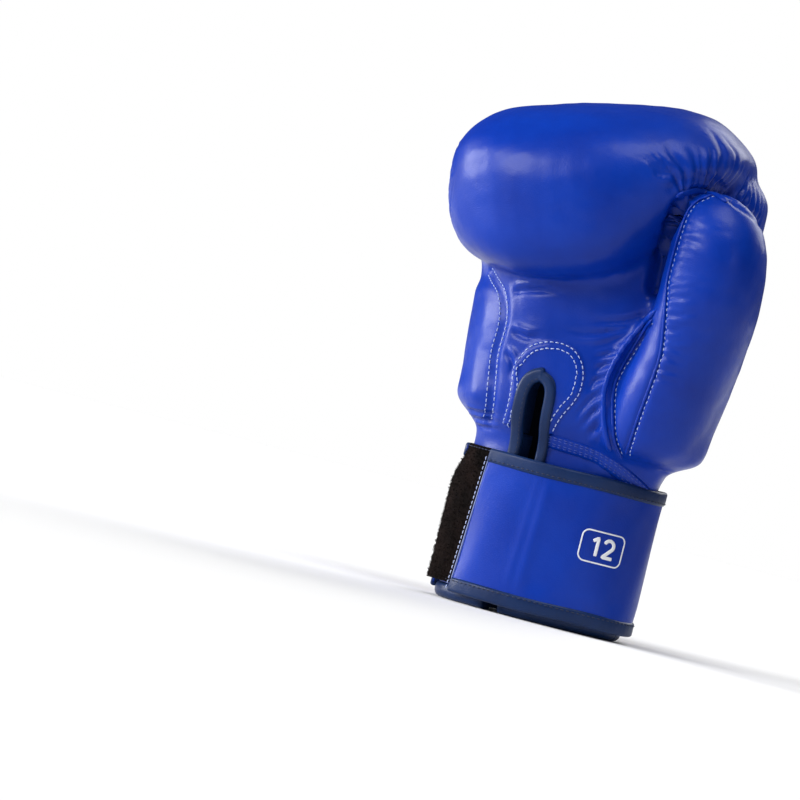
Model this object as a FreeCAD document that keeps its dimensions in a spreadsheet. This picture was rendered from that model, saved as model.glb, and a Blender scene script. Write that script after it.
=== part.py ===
"""Right-hand boxing glove with a hook-and-loop wrist strap, standing on its cuff.

Frame: +Z runs from the cuff's mouth to the knuckles, -Y is the palm side and +X the thumb side.
The origin is the centre of the cuff's mouth, on the plane that the cuff's rim stands on.
Soft forms are lofted through level sections, and everything round the wrist is built on ovals.
"""

import FreeCAD
import Part
import Sketcher
import math
import os

Vector = FreeCAD.Vector

# Driving dimensions in millimetres (tilts in degrees). They go into the document's spreadsheet.
DIMS = {
    "cuff_half_width": 49.8,
    "cuff_half_depth": 33.8,
    "cuff_height": 94.0,
    "flap_height": 93.4,
    "flap_hinge_y": -4.0,
    "flap_gap": 0.5,
    "leather": 1.5,
    "cuff_foam": 7.0,
    "lining": 1.0,
    "rim_foot": 3.0,
    "rim_skirt": 8.0,
    "rim_proud": 0.8,
    "slit_x": -11.5,
    "slit_width": 10.0,
    "slit_top": 118.0,
    "slit_binding": 4.4,
    "patch_radius": 21.0,
    "patch_thick": 1.2,
    "strap_bottom": 4.5,
    "strap_top": 81.5,
    "strap_gap": 4.0,
    "strap_lining": 0.9,
    "strap_leather": 1.3,
    "strap_binding": 6.8,
    "strap_binding_proud": 0.7,
    "strap_free_edge": -31.5,
    "strap_fixed_y": 4.5,
    "strap_moving_y": -3.0,
    "loop_pad": 1.6,
    "loop_bottom": 8.6,
    "loop_top": 82.0,
    "loop_side_y": -8.0,
    "hook_pad": 1.7,
    "hook_bottom": 14.0,
    "hook_top": 72.0,
    "hook_inner_edge": 4.0,
    "label_left": -47.0,
    "label_right": 38.5,
    "label_bottom": 11.5,
    "label_top": 74.5,
    "label_thick": 0.5,
    "label_border": 3.4,
    "skin": 1.6,
    "dense_foam": 10.0,
    "joint_gap": 0.9,
    "tilt_axis_x": -13.0,
    "roll_start": 178.0,
    "roll_full": 196.0,
    "palm_top": 181.0,
    "palm_tilt": 8.5,
    "palm_left": -43.0,
    "palm_back_y": -20.0,
    "edge_pad_top": 173.0,
    "edge_pad_back_y": -6.0,
    "side_foam_top": 188.0,
    "pocket_left": -48.0,
    "pocket_right": 22.0,
    "pocket_front": -50.0,
    "pocket_bottom": 187.0,
    "pocket_top": 214.0,
    "pocket_round": 9.0,
    "grip_radius": 7.0,
    "grip_length": 70.0,
    "grip_x": -5.0,
    "grip_y": -23.2,
    "grip_z": 174.5,
    "grip_sleeve": 0.8,
    "grip_clearance": 0.2,
    "thumb_seam_x": 46.0,
    "thumb_split_y": -34.0,
    "welt_half_width": 1.1,
    "welt_proud": 1.2,
    "tie_proud": 3.2,
    "tie_front": -34.0,
    "tie_back": -22.0,
    "tie_bottom": 200.0,
}

# Level sections of the soft forms: height, left, right, front and back reach, squareness of the oval,
# tilt of the level towards the thumb side, and how far two corners are drawn in: the thumb's and the
# one along the outer edge of the palm. A corner drawn in by a negative amount bulges.
COLUMNS = ("height", "left", "right", "front", "rear", "square", "tilt", "thumb_dent", "edge_dent")
PROFILES = {
    "mitt": [
        (94.0, -51.5, 50.5, -35.0, 35.5, 2.2, 0.0, 0.0, 0.0),
        (97.0, -58.0, 54.5, -38.5, 41.5, 2.3, 0.0, 0.0, 0.02),
        (103.0, -63.5, 57.0, -41.0, 46.0, 2.4, 0.5, 0.0, 0.05),
        (120.0, -71.0, 59.5, -43.5, 51.5, 2.5, 2.5, 0.01, 0.10),
        (148.0, -78.0, 61.5, -45.5, 57.0, 2.6, 6.0, 0.03, 0.14),
        (174.0, -83.0, 63.0, -48.0, 61.0, 2.6, 8.5, 0.08, 0.17),
        (186.0, -85.0, 63.5, -56.0, 61.8, 2.6, 9.5, 0.15, 0.13),
        (194.0, -86.2, 64.5, -65.0, 62.3, 2.6, 10.0, 0.18, 0.07),
        (203.0, -87.0, 65.5, -70.5, 62.3, 2.6, 10.0, 0.17, 0.01),
        (215.0, -87.3, 66.5, -73.0, 61.5, 2.6, 10.0, 0.15, -0.04),
        (231.0, -87.3, 66.0, -72.0, 58.5, 2.6, 10.0, 0.13, -0.08),
        (246.0, -86.5, 59.5, -65.5, 51.5, 2.6, 10.0, 0.09, -0.10),
        (257.0, -83.0, 51.0, -55.5, 41.5, 2.6, 10.0, 0.05, -0.09),
        (266.0, -76.0, 40.0, -40.5, 28.0, 2.5, 10.0, 0.02, -0.06),
        (271.5, -63.0, 29.0, -25.0, 14.5, 2.4, 10.0, 0.0, -0.03),
        (274.0, -45.0, 15.0, -12.0, 3.0, 2.3, 10.0, 0.0, 0.0),
    ],
    "thumb": [
        (95.5, 30.0, 67.0, -41.0, -8.0, 2.2, 0.0, 0.0, 0.0),
        (101.0, 25.0, 74.0, -47.0, -1.0, 2.2, 0.0, 0.0, 0.0),
        (114.0, 24.5, 78.0, -52.0, 3.5, 2.2, 0.0, 0.0, 0.0),
        (132.0, 27.0, 81.5, -57.0, 4.0, 2.2, 0.0, 0.0, 0.0),
        (157.0, 33.0, 86.5, -61.5, 1.0, 2.2, 0.0, 0.0, 0.0),
        (183.0, 38.0, 90.5, -64.5, -5.0, 2.2, 0.0, 0.0, 0.0),
        (206.0, 39.5, 91.5, -64.5, -11.0, 2.2, 0.0, 0.0, 0.0),
        (221.0, 40.5, 87.5, -61.0, -17.0, 2.2, 0.0, 0.0, 0.0),
        (231.0, 43.5, 81.5, -55.0, -24.0, 2.2, 0.0, 0.0, 0.0),
        (236.5, 50.0, 74.5, -48.5, -31.0, 2.1, 0.0, 0.0, 0.0),
        (238.5, 57.0, 68.0, -43.0, -36.0, 2.1, 0.0, 0.0, 0.0),
    ],
    "hand": [
        (94.0, -40.3, 40.3, -24.3, 24.3, 2.0, 0.0, 0.0, 0.0),
        (112.0, -44.0, 43.0, -27.0, 24.5, 2.2, 0.0, 0.0, 0.0),
        (140.0, -48.5, 43.0, -30.0, 24.0, 2.4, 4.0, 0.0, 0.0),
        (172.0, -50.0, 41.0, -31.5, 22.0, 2.5, 8.0, 0.0, 0.0),
        (198.0, -47.0, 38.0, -30.0, 16.5, 2.5, 10.0, 0.0, 0.0),
        (213.0, -41.0, 33.0, -24.0, 8.0, 2.4, 10.0, 0.0, 0.0),
    ],
    "stall": [
        (111.0, 24.0, 45.0, -23.0, 0.0, 2.1, 0.0, 0.0, 0.0),
        (128.0, 35.0, 59.0, -36.0, -10.0, 2.1, 0.0, 0.0, 0.0),
        (146.0, 44.5, 69.0, -43.5, -17.0, 2.1, 0.0, 0.0, 0.0),
        (166.0, 51.0, 75.5, -48.0, -21.5, 2.1, 0.0, 0.0, 0.0),
        (190.0, 54.0, 78.0, -51.0, -25.0, 2.1, 0.0, 0.0, 0.0),
        (206.0, 55.5, 77.0, -50.0, -27.0, 2.1, 0.0, 0.0, 0.0),
        (213.0, 60.0, 73.0, -45.0, -32.0, 2.1, 0.0, 0.0, 0.0),
    ],
}
SECTION_POINTS = 28
DENTS = {"thumb_dent": (-44.0, 26.0), "edge_dent": (-152.0, 30.0)}
FAR = 400.0

doc = FreeCAD.newDocument("boxing_glove")
sheet = doc.addObject("Spreadsheet::Sheet", "dims")
nodes = {}


# ---------------------------------------------------------------- spreadsheet

def fill_sheet():
    """Writes every driving dimension and section column into its own aliased cell."""
    values = dict(DIMS)
    for profile, stations in PROFILES.items():
        for index, station in enumerate(stations):
            for column, value in zip(COLUMNS, station):
                values[f"{profile}_{column}_{index}"] = value
    for row, (alias, value) in enumerate(values.items(), start=1):
        sheet.set(f"A{row}", alias)
        sheet.set(f"B{row}", repr(float(value)))
        sheet.setAlias(f"B{row}", alias)
    doc.recompute()


def dim(alias):
    """The number in the spreadsheet cell with this alias."""
    return float(sheet.get(alias))


# ------------------------------------------------------------- soft form lofts

def drawn_in(angle, depths):
    """How much of an oval's reach is left at an angle, after the dents at its corners."""
    left = 1.0
    for dent, (at, width) in DENTS.items():
        off = math.remainder(math.degrees(angle) - at, 360) / width
        left -= depths[dent] * math.exp(-off**2)
    return left


def section(height, left, right, front, rear, square, tilt, **dents):
    """A closed spline round one level: an oval whose corners may be dented."""
    centre = Vector((left + right) / 2, (front + rear) / 2, height)
    half_x = (right - left) / 2
    half_y = (rear - front) / 2
    slope = math.tan(math.radians(tilt))
    points = []
    for i in range(SECTION_POINTS):
        angle = 2 * math.pi * i / SECTION_POINTS
        along = abs(math.cos(angle) / half_x) ** square + abs(math.sin(angle) / half_y) ** square
        reach = along ** (-1 / square) * drawn_in(angle, dents)
        x = centre.x + reach * math.cos(angle)
        y = centre.y + reach * math.sin(angle)
        points.append(Vector(x, y, height + (x - dim("tilt_axis_x")) * slope))
    curve = Part.BSplineCurve()
    curve.interpolate(points, PeriodicFlag=True)
    return Part.Wire(curve.toShape())


def form(profile, side=0.0, front=0.0, rear=0.0, top=0.0, roll_front=None, start=0.0):
    """A solid lofted through a profile's sections, drawn in by the insets. Negative insets grow it.

    The front inset can differ over the fist roll, and start moves the lowest level.
    """
    stations = []
    for index in range(len(PROFILES[profile])):
        stations.append({c: dim(f"{profile}_{c}_{index}") for c in COLUMNS})
    base = stations[0]["height"]
    shrink = 1 - top / (stations[-1]["height"] - base)
    roll_span = dim("roll_full") - dim("roll_start")
    wires = []
    for station in stations:
        on_roll = min(max((station["height"] - dim("roll_start")) / roll_span, 0), 1)
        front_inset = front if roll_front is None else front + (roll_front - front) * on_roll
        station["left"] += side
        station["right"] -= side
        station["front"] += front_inset
        station["rear"] -= rear
        station["height"] = base + (station["height"] - base) * shrink
        wires.append(station)
    wires[0]["height"] += start
    return Part.makeLoft([section(**station) for station in wires], True, False)


def even_form(profile, inset):
    """A profile's form drawn in by the same inset on every side."""
    return form(profile, inset, inset, inset, inset)


def box(low, high):
    """An upright box between two corners."""
    size = Vector(*high) - Vector(*low)
    return Part.makeBox(size.x, size.y, size.z, Vector(*low))


def finger_pocket(grow):
    """The rounded space in front of the hand where the fingers curl into the fist roll."""
    low = (dim("pocket_left") - grow, dim("pocket_front") - grow, dim("pocket_bottom") - grow)
    high = (dim("pocket_right") + grow, grow, dim("pocket_top") + grow)
    pocket = box(low, high)
    pocket = pocket.makeFillet(dim("pocket_round") + grow, pocket.Edges)
    pocket.rotate(Vector(dim("tilt_axis_x"), 0, dim("pocket_bottom")), Vector(0, -1, 0), dim("palm_tilt"))
    return pocket


def hand_space(grow, start):
    """The hand compartment with its finger pocket, grown by the lining where asked."""
    return form("hand", -grow, -grow, -grow, -grow, start=start).fuse(finger_pocket(grow))


def stall_space(grow):
    """The thumb's stall, grown by its lining where asked."""
    return form("stall", -grow, -grow, -grow, -grow)


def slit_prism(margin, front, rear):
    """A prism with a round top through the palm, wider than the slit by margin on each side."""
    half = dim("slit_width") / 2 + margin
    body = box(
        (dim("slit_x") - half, front, dim("rim_foot") - FAR),
        (dim("slit_x") + half, rear, dim("slit_top")),
    )
    crown = Part.makeCylinder(
        half, rear - front, Vector(dim("slit_x"), front, dim("slit_top")), Vector(0, 1, 0)
    )
    return body.fuse(crown)


def palm_block():
    """The block of space whose part of the mitt's wall is the palm."""
    block = box(
        (dim("palm_left"), -FAR, dim("cuff_height") - 20),
        (FAR, dim("palm_back_y"), dim("palm_top")),
    )
    block.rotate(Vector(dim("tilt_axis_x"), 0, dim("palm_top")), Vector(0, -1, 0), dim("palm_tilt"))
    return block.common(box((dim("palm_left"), -FAR, 0), (FAR, dim("palm_back_y"), FAR)))


def edge_block():
    """The block of space whose part of the mitt's wall is the pad along the outer edge of the palm."""
    return box((-FAR, -FAR, 0), (dim("palm_left"), dim("edge_pad_back_y"), dim("edge_pad_top")))


def shaped(name, shape):
    """Adds a piece whose shape is made from soft forms to the document."""
    piece = doc.addObject("Part::Feature", name)
    piece.Label = name
    piece.Shape = shape
    piece.Placement = FreeCAD.Placement()
    nodes[name] = piece
    return piece


# --------------------------------------------------- parametric wrist hardware

def value(expression):
    """Spreadsheet aliases in an expression written with plain names."""
    words = []
    for word in expression.replace("(", " ( ").replace(")", " ) ").split():
        words.append(f"dims.{word}" if word in DIMS else word)
    return " ".join(words)


def oval_prism(name, offset, low, high):
    """An upright prism of the cuff's oval, grown by an offset, between two heights."""
    oval = doc.addObject("Part::Ellipse", f"{name}_oval")
    oval.setExpression("MajorRadius", value(f"cuff_half_width + ( {offset} )"))
    oval.setExpression("MinorRadius", value(f"cuff_half_depth + ( {offset} )"))
    oval.setExpression("Placement.Base.z", value(low))
    prism = doc.addObject("Part::Extrusion", f"{name}_prism")
    prism.Base = oval
    prism.DirMode = "Custom"
    prism.Dir = Vector(0, 0, 1)
    prism.Solid = True
    prism.setExpression("LengthFwd", value(f"{high} - ( {low} )"))
    return prism


def cut(name, base, tool):
    """base with tool taken out of it."""
    result = doc.addObject("Part::Cut", name)
    result.Base = base
    result.Tool = tool
    return result


def common(name, first, second):
    """What two shapes share."""
    result = doc.addObject("Part::MultiCommon", name)
    result.Shapes = [first, second]
    return result


def fuse(name, *shapes):
    """Several shapes as one."""
    result = doc.addObject("Part::MultiFuse", name)
    result.Shapes = list(shapes)
    return result


def ring(name, inner, outer, low, high):
    """A band round the wrist between two offsets from the cuff's surface."""
    big = oval_prism(f"{name}_outer", outer, low, high)
    small = oval_prism(f"{name}_inner", inner, f"{low} - 1", f"{high} + 1")
    return cut(f"{name}_ring", big, small)


def block(name, x, y, z):
    """A box between pairs of expressions along each axis."""
    result = doc.addObject("Part::Box", name)
    for axis, size, (low, high) in zip("xyz", ("Length", "Width", "Height"), (x, y, z)):
        result.setExpression(f"Placement.Base.{axis}", value(low))
        result.setExpression(size, value(f"( {high} ) - ( {low} )"))
    return result


WIDE = ("-200", "200")


def finish(name, feature):
    """Names a finished sub-part of the document."""
    feature.Label = name
    nodes[name] = feature
    return feature


def ring_part(name, inner, outer, low, high, x=WIDE, y=WIDE):
    """The part of a band round the wrist that lies in a range of x and y."""
    band = ring(name, inner, outer, low, high)
    keep = block(f"{name}_keep", x, y, WIDE)
    return finish(name, common(f"{name}_piece", band, keep))


BACK = ("flap_hinge_y + flap_gap", "200")
FRONT = ("-200", "flap_hinge_y")
ULNAR_SIDE = ("-200", "slit_x - slit_width / 2 - slit_binding")
THUMB_SIDE = ("slit_x + slit_width / 2 + slit_binding", "200")
WALL = "leather + cuff_foam + lining"


def wall_layers(prefix, height, x, y):
    """Leather, foam and lining of one part of the cuff's wall, standing on its rim binding."""
    ring_part(f"{prefix}_cover", "- leather", "0", "rim_foot", height, x, y)
    ring_part(f"{prefix}_foam", "- leather - cuff_foam", "- leather", "rim_foot", height, x, y)
    ring_part(f"{prefix}_lining", f"- ( {WALL} )", "- leather - cuff_foam", "rim_foot", height, x, y)


def rim(prefix, x, y):
    """The binding under one part of the cuff: a foot as thick as the wall, and a skirt up its outside."""
    foot = ring(f"{prefix}_foot", f"- ( {WALL} )", "rim_proud", "0", "rim_foot")
    skirt = ring(f"{prefix}_skirt", "0", "rim_proud", "rim_foot", "rim_skirt")
    keep = block(f"{prefix}_keep", x, y, WIDE)
    return common(f"{prefix}_rim", fuse(f"{prefix}_band", foot, skirt), keep)


def slit_edge(prefix, x):
    """The binding up one edge of the slit, through the whole wall."""
    band = ring(f"{prefix}_edge", f"- ( {WALL} )", "rim_proud", "rim_foot", "flap_height")
    keep = block(f"{prefix}_edge_keep", x, FRONT, WIDE)
    return common(f"{prefix}_edge_piece", band, keep)


def cuff():
    """The fixed back and sides of the cuff."""
    wall_layers("cuff", "cuff_height", WIDE, BACK)
    finish("cuff_rim_binding", rim("cuff_rim", WIDE, BACK))


def flaps():
    """The two halves of the palm side of the cuff, which open at the slit."""
    edges = {
        "ulnar_flap": (
            ULNAR_SIDE,
            ("slit_x - slit_width / 2 - slit_binding", "slit_x - slit_width / 2"),
        ),
        "thumb_flap": (
            THUMB_SIDE,
            ("slit_x + slit_width / 2", "slit_x + slit_width / 2 + slit_binding"),
        ),
    }
    for prefix, (side, edge) in edges.items():
        wall_layers(prefix, "flap_height", side, FRONT)
        reach = (side[0], edge[1]) if side is ULNAR_SIDE else (edge[0], side[1])
        foot = rim(f"{prefix}_rim", reach, FRONT)
        binding = fuse(f"{prefix}_binding", foot, slit_edge(prefix, edge))
        finish(f"{prefix}_binding", binding)
    ring_part(
        "loop_pad",
        "0",
        "loop_pad",
        "loop_bottom",
        "loop_top",
        x=ULNAR_SIDE,
        y=("-200", "loop_side_y"),
    )


def strap_layers(prefix, x, y):
    """Lining, leather and the two edge bindings of one part of the strap."""
    inner = "strap_gap"
    seam = "strap_gap + strap_lining"
    outer = "strap_gap + strap_lining + strap_leather"
    inside = ("strap_bottom + 1", "strap_top - 1")
    ring_part(f"{prefix}_lining", inner, seam, *inside, x, y)
    ring_part(f"{prefix}_leather", seam, outer, *inside, x, y)
    heights = {
        "top_binding": ("strap_top - strap_binding", "strap_top"),
        "bottom_binding": ("strap_bottom", "strap_bottom + strap_binding"),
    }
    for edge, (low, high) in heights.items():
        name = f"{prefix}_{edge}"
        fold = ring(name, f"{inner} - strap_binding_proud", f"{outer} + strap_binding_proud", low, high)
        band = ring(f"{name}_slot", inner, outer, *inside)
        keep = block(f"{name}_keep", x, y, WIDE)
        finish(name, common(f"{name}_piece", cut(f"{name}_fold", fold, band), keep))


def strap():
    """The strap: fixed round the back over a pad, and swinging open from the thumb side."""
    fixed = ("strap_fixed_y", "200")
    moving_y = ("-200", "strap_moving_y")
    moving_x = ("strap_free_edge", "200")
    strap_layers("strap_back", WIDE, fixed)
    strap_layers("strap_front", moving_x, moving_y)
    pad_heights = ("strap_bottom + strap_binding", "strap_top - strap_binding")
    ring_part("strap_pad", "0", "strap_gap", *pad_heights, WIDE, fixed)
    ring_part(
        "hook_pad",
        "strap_gap - hook_pad",
        "strap_gap",
        "hook_bottom",
        "hook_top",
        x=("strap_free_edge + 2", "hook_inner_edge"),
        y=moving_y,
    )


def label():
    """The patch on the back of the strap: a border frame round a plain field."""
    under = "strap_gap + strap_lining + strap_leather"
    over = f"{under} + label_thick"
    back = ("0", "200")
    inner_x = ("label_left + label_border", "label_right - label_border")
    inner_z = ("label_bottom + label_border", "label_top - label_border")
    ring_part("label_field", under, over, *inner_z, inner_x, back)
    sheet_band = ring("label_sheet", under, over, "label_bottom", "label_top")
    outline = block("label_outline", ("label_left", "label_right"), back, WIDE)
    hole = block("label_hole", inner_x, back, inner_z)
    whole = common("label_whole", sheet_band, outline)
    finish("label_border", cut("label_border_piece", whole, hole))


def round_sketch(body, name, radii):
    """A sketch in the body of circles round its X axis, with radii bound to the spreadsheet."""
    sketch = body.newObject("Sketcher::SketchObject", f"{name}_sketch")
    plane = next(f for f in body.Origin.OriginFeatures if f.Role == "YZ_Plane")
    sketch.AttachmentSupport = [(plane, "")]
    sketch.MapMode = "FlatFace"
    for number, radius in enumerate(radii):
        first_size = dim("grip_radius") - number
        circle = Part.Circle(Vector(0, 0, 0), Vector(0, 0, 1), first_size)
        sketch.addGeometry(circle, False)
        index = sketch.addConstraint(Sketcher.Constraint("Radius", number, first_size))
        sketch.renameConstraint(index, f"radius_{number}")
        sketch.setExpression(f"Constraints.radius_{number}", radius)
        sketch.addConstraint(Sketcher.Constraint("Coincident", number, 3, -1, 1))
    return sketch


def grip():
    """The bar across the palm inside the mitt, in its sleeve."""
    core = "dims.grip_radius - dims.grip_sleeve"
    for name, radii in {"grip_bar": [core], "grip_sleeve": ["dims.grip_radius", core]}.items():
        body = doc.addObject("PartDesign::Body", name)
        sketch = round_sketch(body, name, radii)
        pad = body.newObject("PartDesign::Pad", f"{name}_pad")
        pad.Profile = sketch
        pad.Midplane = True
        pad.setExpression("Length", "dims.grip_length")
        for axis in "xyz":
            body.setExpression(f"Placement.Base.{axis}", f"dims.grip_{axis}")
        body.Placement.Rotation = FreeCAD.Rotation(Vector(0, -1, 0), dim("palm_tilt"))
        finish(name, body)


def grip_socket():
    """The space that the grip bar in its sleeve takes up in the linings and foams."""
    clearance = dim("grip_clearance")
    length = dim("grip_length") + 2 * clearance
    tilt = math.radians(dim("palm_tilt"))
    axis = Vector(math.cos(tilt), 0, math.sin(tilt))
    centre = Vector(dim("grip_x"), dim("grip_y"), dim("grip_z"))
    return Part.makeCylinder(dim("grip_radius") + clearance, length, centre - axis * (length / 2), axis)


# ------------------------------------------------------------- padded mitt

def mitt():
    """The fist and palm: leather panels, foams, palm pad and the lining of the hand space."""
    skin = dim("skin")
    dense = dim("dense_foam")
    lining = dim("lining")
    outer = form("mitt")
    under_skin = even_form("mitt", skin)
    under_dense = form("mitt", dense, dense, dense + 3, dense + 4, roll_front=dense, start=0)
    lined_space = hand_space(lining, 0)
    open_space = hand_space(0, -2)
    passage = stall_space(lining)
    palm = palm_block()
    edge = edge_block()
    wide_slit = slit_prism(dim("slit_binding"), -FAR, 0)
    bar = grip_socket()
    back = box((-FAR, dim("edge_pad_back_y"), 0), (FAR, FAR, FAR))
    thumb_side = box((0, -FAR, 0), (FAR, dim("edge_pad_back_y"), dim("side_foam_top")))

    leather = outer.cut(under_skin)
    leather = leather.cut(box((-FAR, -FAR, 0), (FAR, FAR, dim("cuff_height")))).cut(passage)
    shaped("palm_panel", leather.common(palm).cut(wide_slit))
    shaped("edge_pad_cover", leather.common(edge))
    shaped("back_panel", leather.cut(palm).cut(edge))

    filling = under_skin.cut(lined_space).cut(passage).cut(bar)
    shaped("palm_pad", filling.common(palm).cut(wide_slit))
    shaped("edge_pad_foam", filling.common(edge))
    padding = filling.cut(palm).cut(edge)
    shaped("thumb_side_foam", padding.common(thumb_side))
    padding = padding.cut(thumb_side)
    for name, foam in {"impact": padding.cut(under_dense), "core": padding.common(under_dense)}.items():
        shaped(f"{name}_back_foam", foam.common(back))
        shaped(f"{name}_roll_foam", foam.cut(back))

    hand_lining = lined_space.cut(open_space).cut(passage).cut(wide_slit).cut(bar)
    shaped("hand_lining", hand_lining)
    passage_wall = passage.cut(stall_space(0)).common(outer).cut(lined_space)
    shaped("thumb_passage_lining", passage_wall)

    proud = even_form("mitt", -dim("patch_thick")).cut(outer)
    heel = slit_prism(dim("patch_radius") - dim("slit_width") / 2, -FAR, dim("palm_back_y"))
    above_cuff = box((-FAR, -FAR, dim("cuff_height") + 3), (FAR, FAR, FAR))
    shaped("slit_patch", proud.common(heel).cut(wide_slit).common(above_cuff))

    deep = form("mitt", -dim("patch_thick"), -dim("patch_thick") - 1, 0, 0)
    palm_wall = deep.cut(open_space).common(wide_slit)
    bead = palm_wall.cut(slit_prism(0, -FAR, 0)).common(box((-FAR, -FAR, dim("cuff_height")), (FAR, 0, FAR)))
    shaped("slit_binding", bead)


def thumb():
    """The thumb, standing off the mitt by the joint's clearance."""
    clear = even_form("mitt", -dim("joint_gap"))
    outer = form("thumb")
    under_skin = even_form("thumb", dim("skin"))
    stall = stall_space(0)
    lined_stall = stall_space(dim("lining"))
    inner_side = box((-FAR, -FAR, 0), (dim("thumb_seam_x"), FAR, FAR))

    leather = outer.cut(under_skin).cut(lined_stall).cut(clear)
    shaped("thumb_outer_panel", leather.cut(inner_side))
    shaped("thumb_inner_panel", leather.common(inner_side))
    foam = under_skin.cut(lined_stall).cut(clear)
    front = box((-FAR, -FAR, 0), (FAR, dim("thumb_split_y"), FAR))
    shaped("thumb_front_foam", foam.common(front))
    shaped("thumb_back_foam", foam.cut(front))
    shaped("thumb_lining", lined_stall.cut(stall).cut(clear))

    half = dim("welt_half_width")
    seam = box((dim("thumb_seam_x") - half, -FAR, 0), (dim("thumb_seam_x") + half, -FAR / 20, FAR))
    bead = even_form("thumb", -dim("welt_proud")).cut(outer).common(seam).cut(clear)
    shaped("thumb_welt", bead)

    proud = dim("tie_proud")
    crotch = even_form("thumb", -proud).common(even_form("mitt", -proud))
    crotch = crotch.common(box((0, dim("tie_front"), dim("tie_bottom")), (FAR, dim("tie_back"), FAR)))
    shaped("thumb_tie", crotch.cut(even_form("thumb", -dim("joint_gap"))).cut(form("mitt")))


def build():
    """Makes every sub-part."""
    fill_sheet()
    cuff()
    flaps()
    strap()
    label()
    grip()
    mitt()
    thumb()
    doc.recompute()


def check_and_export():
    """Stops on a failed object or an unsound shape, then writes one STEP file for each sub-part."""
    for item in doc.Objects:
        if "Invalid" in item.State or "Error" in item.State:
            raise RuntimeError(f"{item.Label} failed: {item.State}")
    for name, feature in nodes.items():
        shape = feature.Shape
        if shape.isNull() or not shape.isValid() or not shape.Solids:
            raise RuntimeError(f"{name} has no sound solid")
    os.makedirs("parts", exist_ok=True)
    for name, feature in nodes.items():
        feature.Shape.exportStep(os.path.join("parts", f"{name}.step"))
        print(f"{name:24s} {len(feature.Shape.Solids)} solid(s) {feature.Shape.Volume / 1000:8.2f} cm3")


build()
check_and_export()
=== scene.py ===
import math

import bpy
import numpy as np
from mathutils import Matrix, Vector
from mathutils.bvhtree import BVHTree


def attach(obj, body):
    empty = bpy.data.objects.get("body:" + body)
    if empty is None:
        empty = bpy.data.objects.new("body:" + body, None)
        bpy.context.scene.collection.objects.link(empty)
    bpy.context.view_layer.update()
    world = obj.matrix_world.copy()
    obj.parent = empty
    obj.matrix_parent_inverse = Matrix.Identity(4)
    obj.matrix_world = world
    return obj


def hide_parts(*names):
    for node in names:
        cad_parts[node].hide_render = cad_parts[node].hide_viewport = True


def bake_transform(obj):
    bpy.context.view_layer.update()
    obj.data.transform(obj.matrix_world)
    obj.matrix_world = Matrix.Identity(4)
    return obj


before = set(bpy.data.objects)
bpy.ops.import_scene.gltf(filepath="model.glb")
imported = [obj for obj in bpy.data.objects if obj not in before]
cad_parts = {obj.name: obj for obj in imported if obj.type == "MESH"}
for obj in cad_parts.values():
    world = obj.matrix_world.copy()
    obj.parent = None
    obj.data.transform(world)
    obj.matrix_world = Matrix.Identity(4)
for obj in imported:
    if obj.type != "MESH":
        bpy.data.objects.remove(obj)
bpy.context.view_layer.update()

# Everything is worked out in millimetres in the CAD frame: +Z up the glove, -Y out of the palm,
# +X towards the thumb. Meshes are written in metres.
MM = 0.001
VIEW_AZIMUTH = 17.0
SPLINE_STEPS = 24
PATH_SPACING = 1.0
WAVES = 14


# ------------------------------------------------------------------ small maths

def smoothstep(value, low, high):
    """0 below low, 1 above high, smooth between."""
    t = np.clip((value - low) / (high - low), 0, 1)
    return t * t * (3 - 2 * t)


def smooth_min(a, b, width):
    """The smaller of two distances, rounded off where they are within width of each other."""
    share = np.clip(0.5 + 0.5 * (b - a) / width, 0, 1)
    return b + (a - b) * share - width * share * (1 - share)


def spline(knots, count):
    """A smooth open curve through the knots, at count evenly spread points."""
    knots = np.asarray(knots, float)
    padded = np.vstack([2 * knots[0] - knots[1], knots, 2 * knots[-1] - knots[-2]])
    pieces = []
    for i in range(len(knots) - 1):
        a, b, c, d = padded[i : i + 4]
        t = np.linspace(0, 1, SPLINE_STEPS, endpoint=False)[:, None]
        pieces.append(
            0.5 * (2 * b + (c - a) * t + (2 * a - 5 * b + 4 * c - d) * t**2
                   + (3 * b - a - 3 * c + d) * t**3)
        )
    dense = np.vstack(pieces + [knots[-1:]])
    return even(dense, count)


def even(points, count):
    """Points spread evenly along a polyline."""
    steps = np.linalg.norm(np.diff(points, axis=0), axis=1)
    along = np.concatenate([[0], np.cumsum(steps)])
    at = np.linspace(0, along[-1], count)
    return np.stack([np.interp(at, along, points[:, k]) for k in range(points.shape[1])], axis=1)


def length_of(points):
    """The length of a polyline."""
    return np.linalg.norm(np.diff(points, axis=0), axis=1).sum()


def hermite(levels, rows):
    """Columns of a table at any level, by a smooth curve through its rows."""
    rows = np.asarray(rows, float)
    x, y = rows[:, 0], rows[:, 1:]
    gaps = np.diff(x)[:, None]
    slopes = np.diff(y, axis=0) / gaps
    tangents = np.vstack([slopes[:1], (slopes[1:] + slopes[:-1]) / 2, slopes[-1:]])
    flat = slopes[1:] * slopes[:-1] <= 0
    tangents[1:-1][flat] = 0
    clipped = np.clip(levels, x[0], x[-1])
    i = np.clip(np.searchsorted(x, clipped) - 1, 0, len(x) - 2)
    h = gaps[i]
    t = ((clipped - x[i]) / h[..., 0])[..., None]
    return (
        y[i] * (1 + 2 * t) * (1 - t) ** 2 + tangents[i] * h * t * (1 - t) ** 2
        + y[i + 1] * t**2 * (3 - 2 * t) + tangents[i + 1] * h * t**2 * (t - 1)
    )


def lumps(points, size, seed):
    """Smooth random values from about -1 to 1 at points, with lumps of about the given size."""
    rng = np.random.default_rng(seed)
    total = np.zeros(len(points))
    for _ in range(WAVES):
        direction = rng.normal(size=3)
        direction *= rng.uniform(0.6, 1.5) * 2 * math.pi / (size * 2 * np.linalg.norm(direction))
        total += np.sin(points @ direction + rng.uniform(0, 2 * math.pi))
    return total / 3.7


# ------------------------------------------------------------ the leather's form

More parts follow.
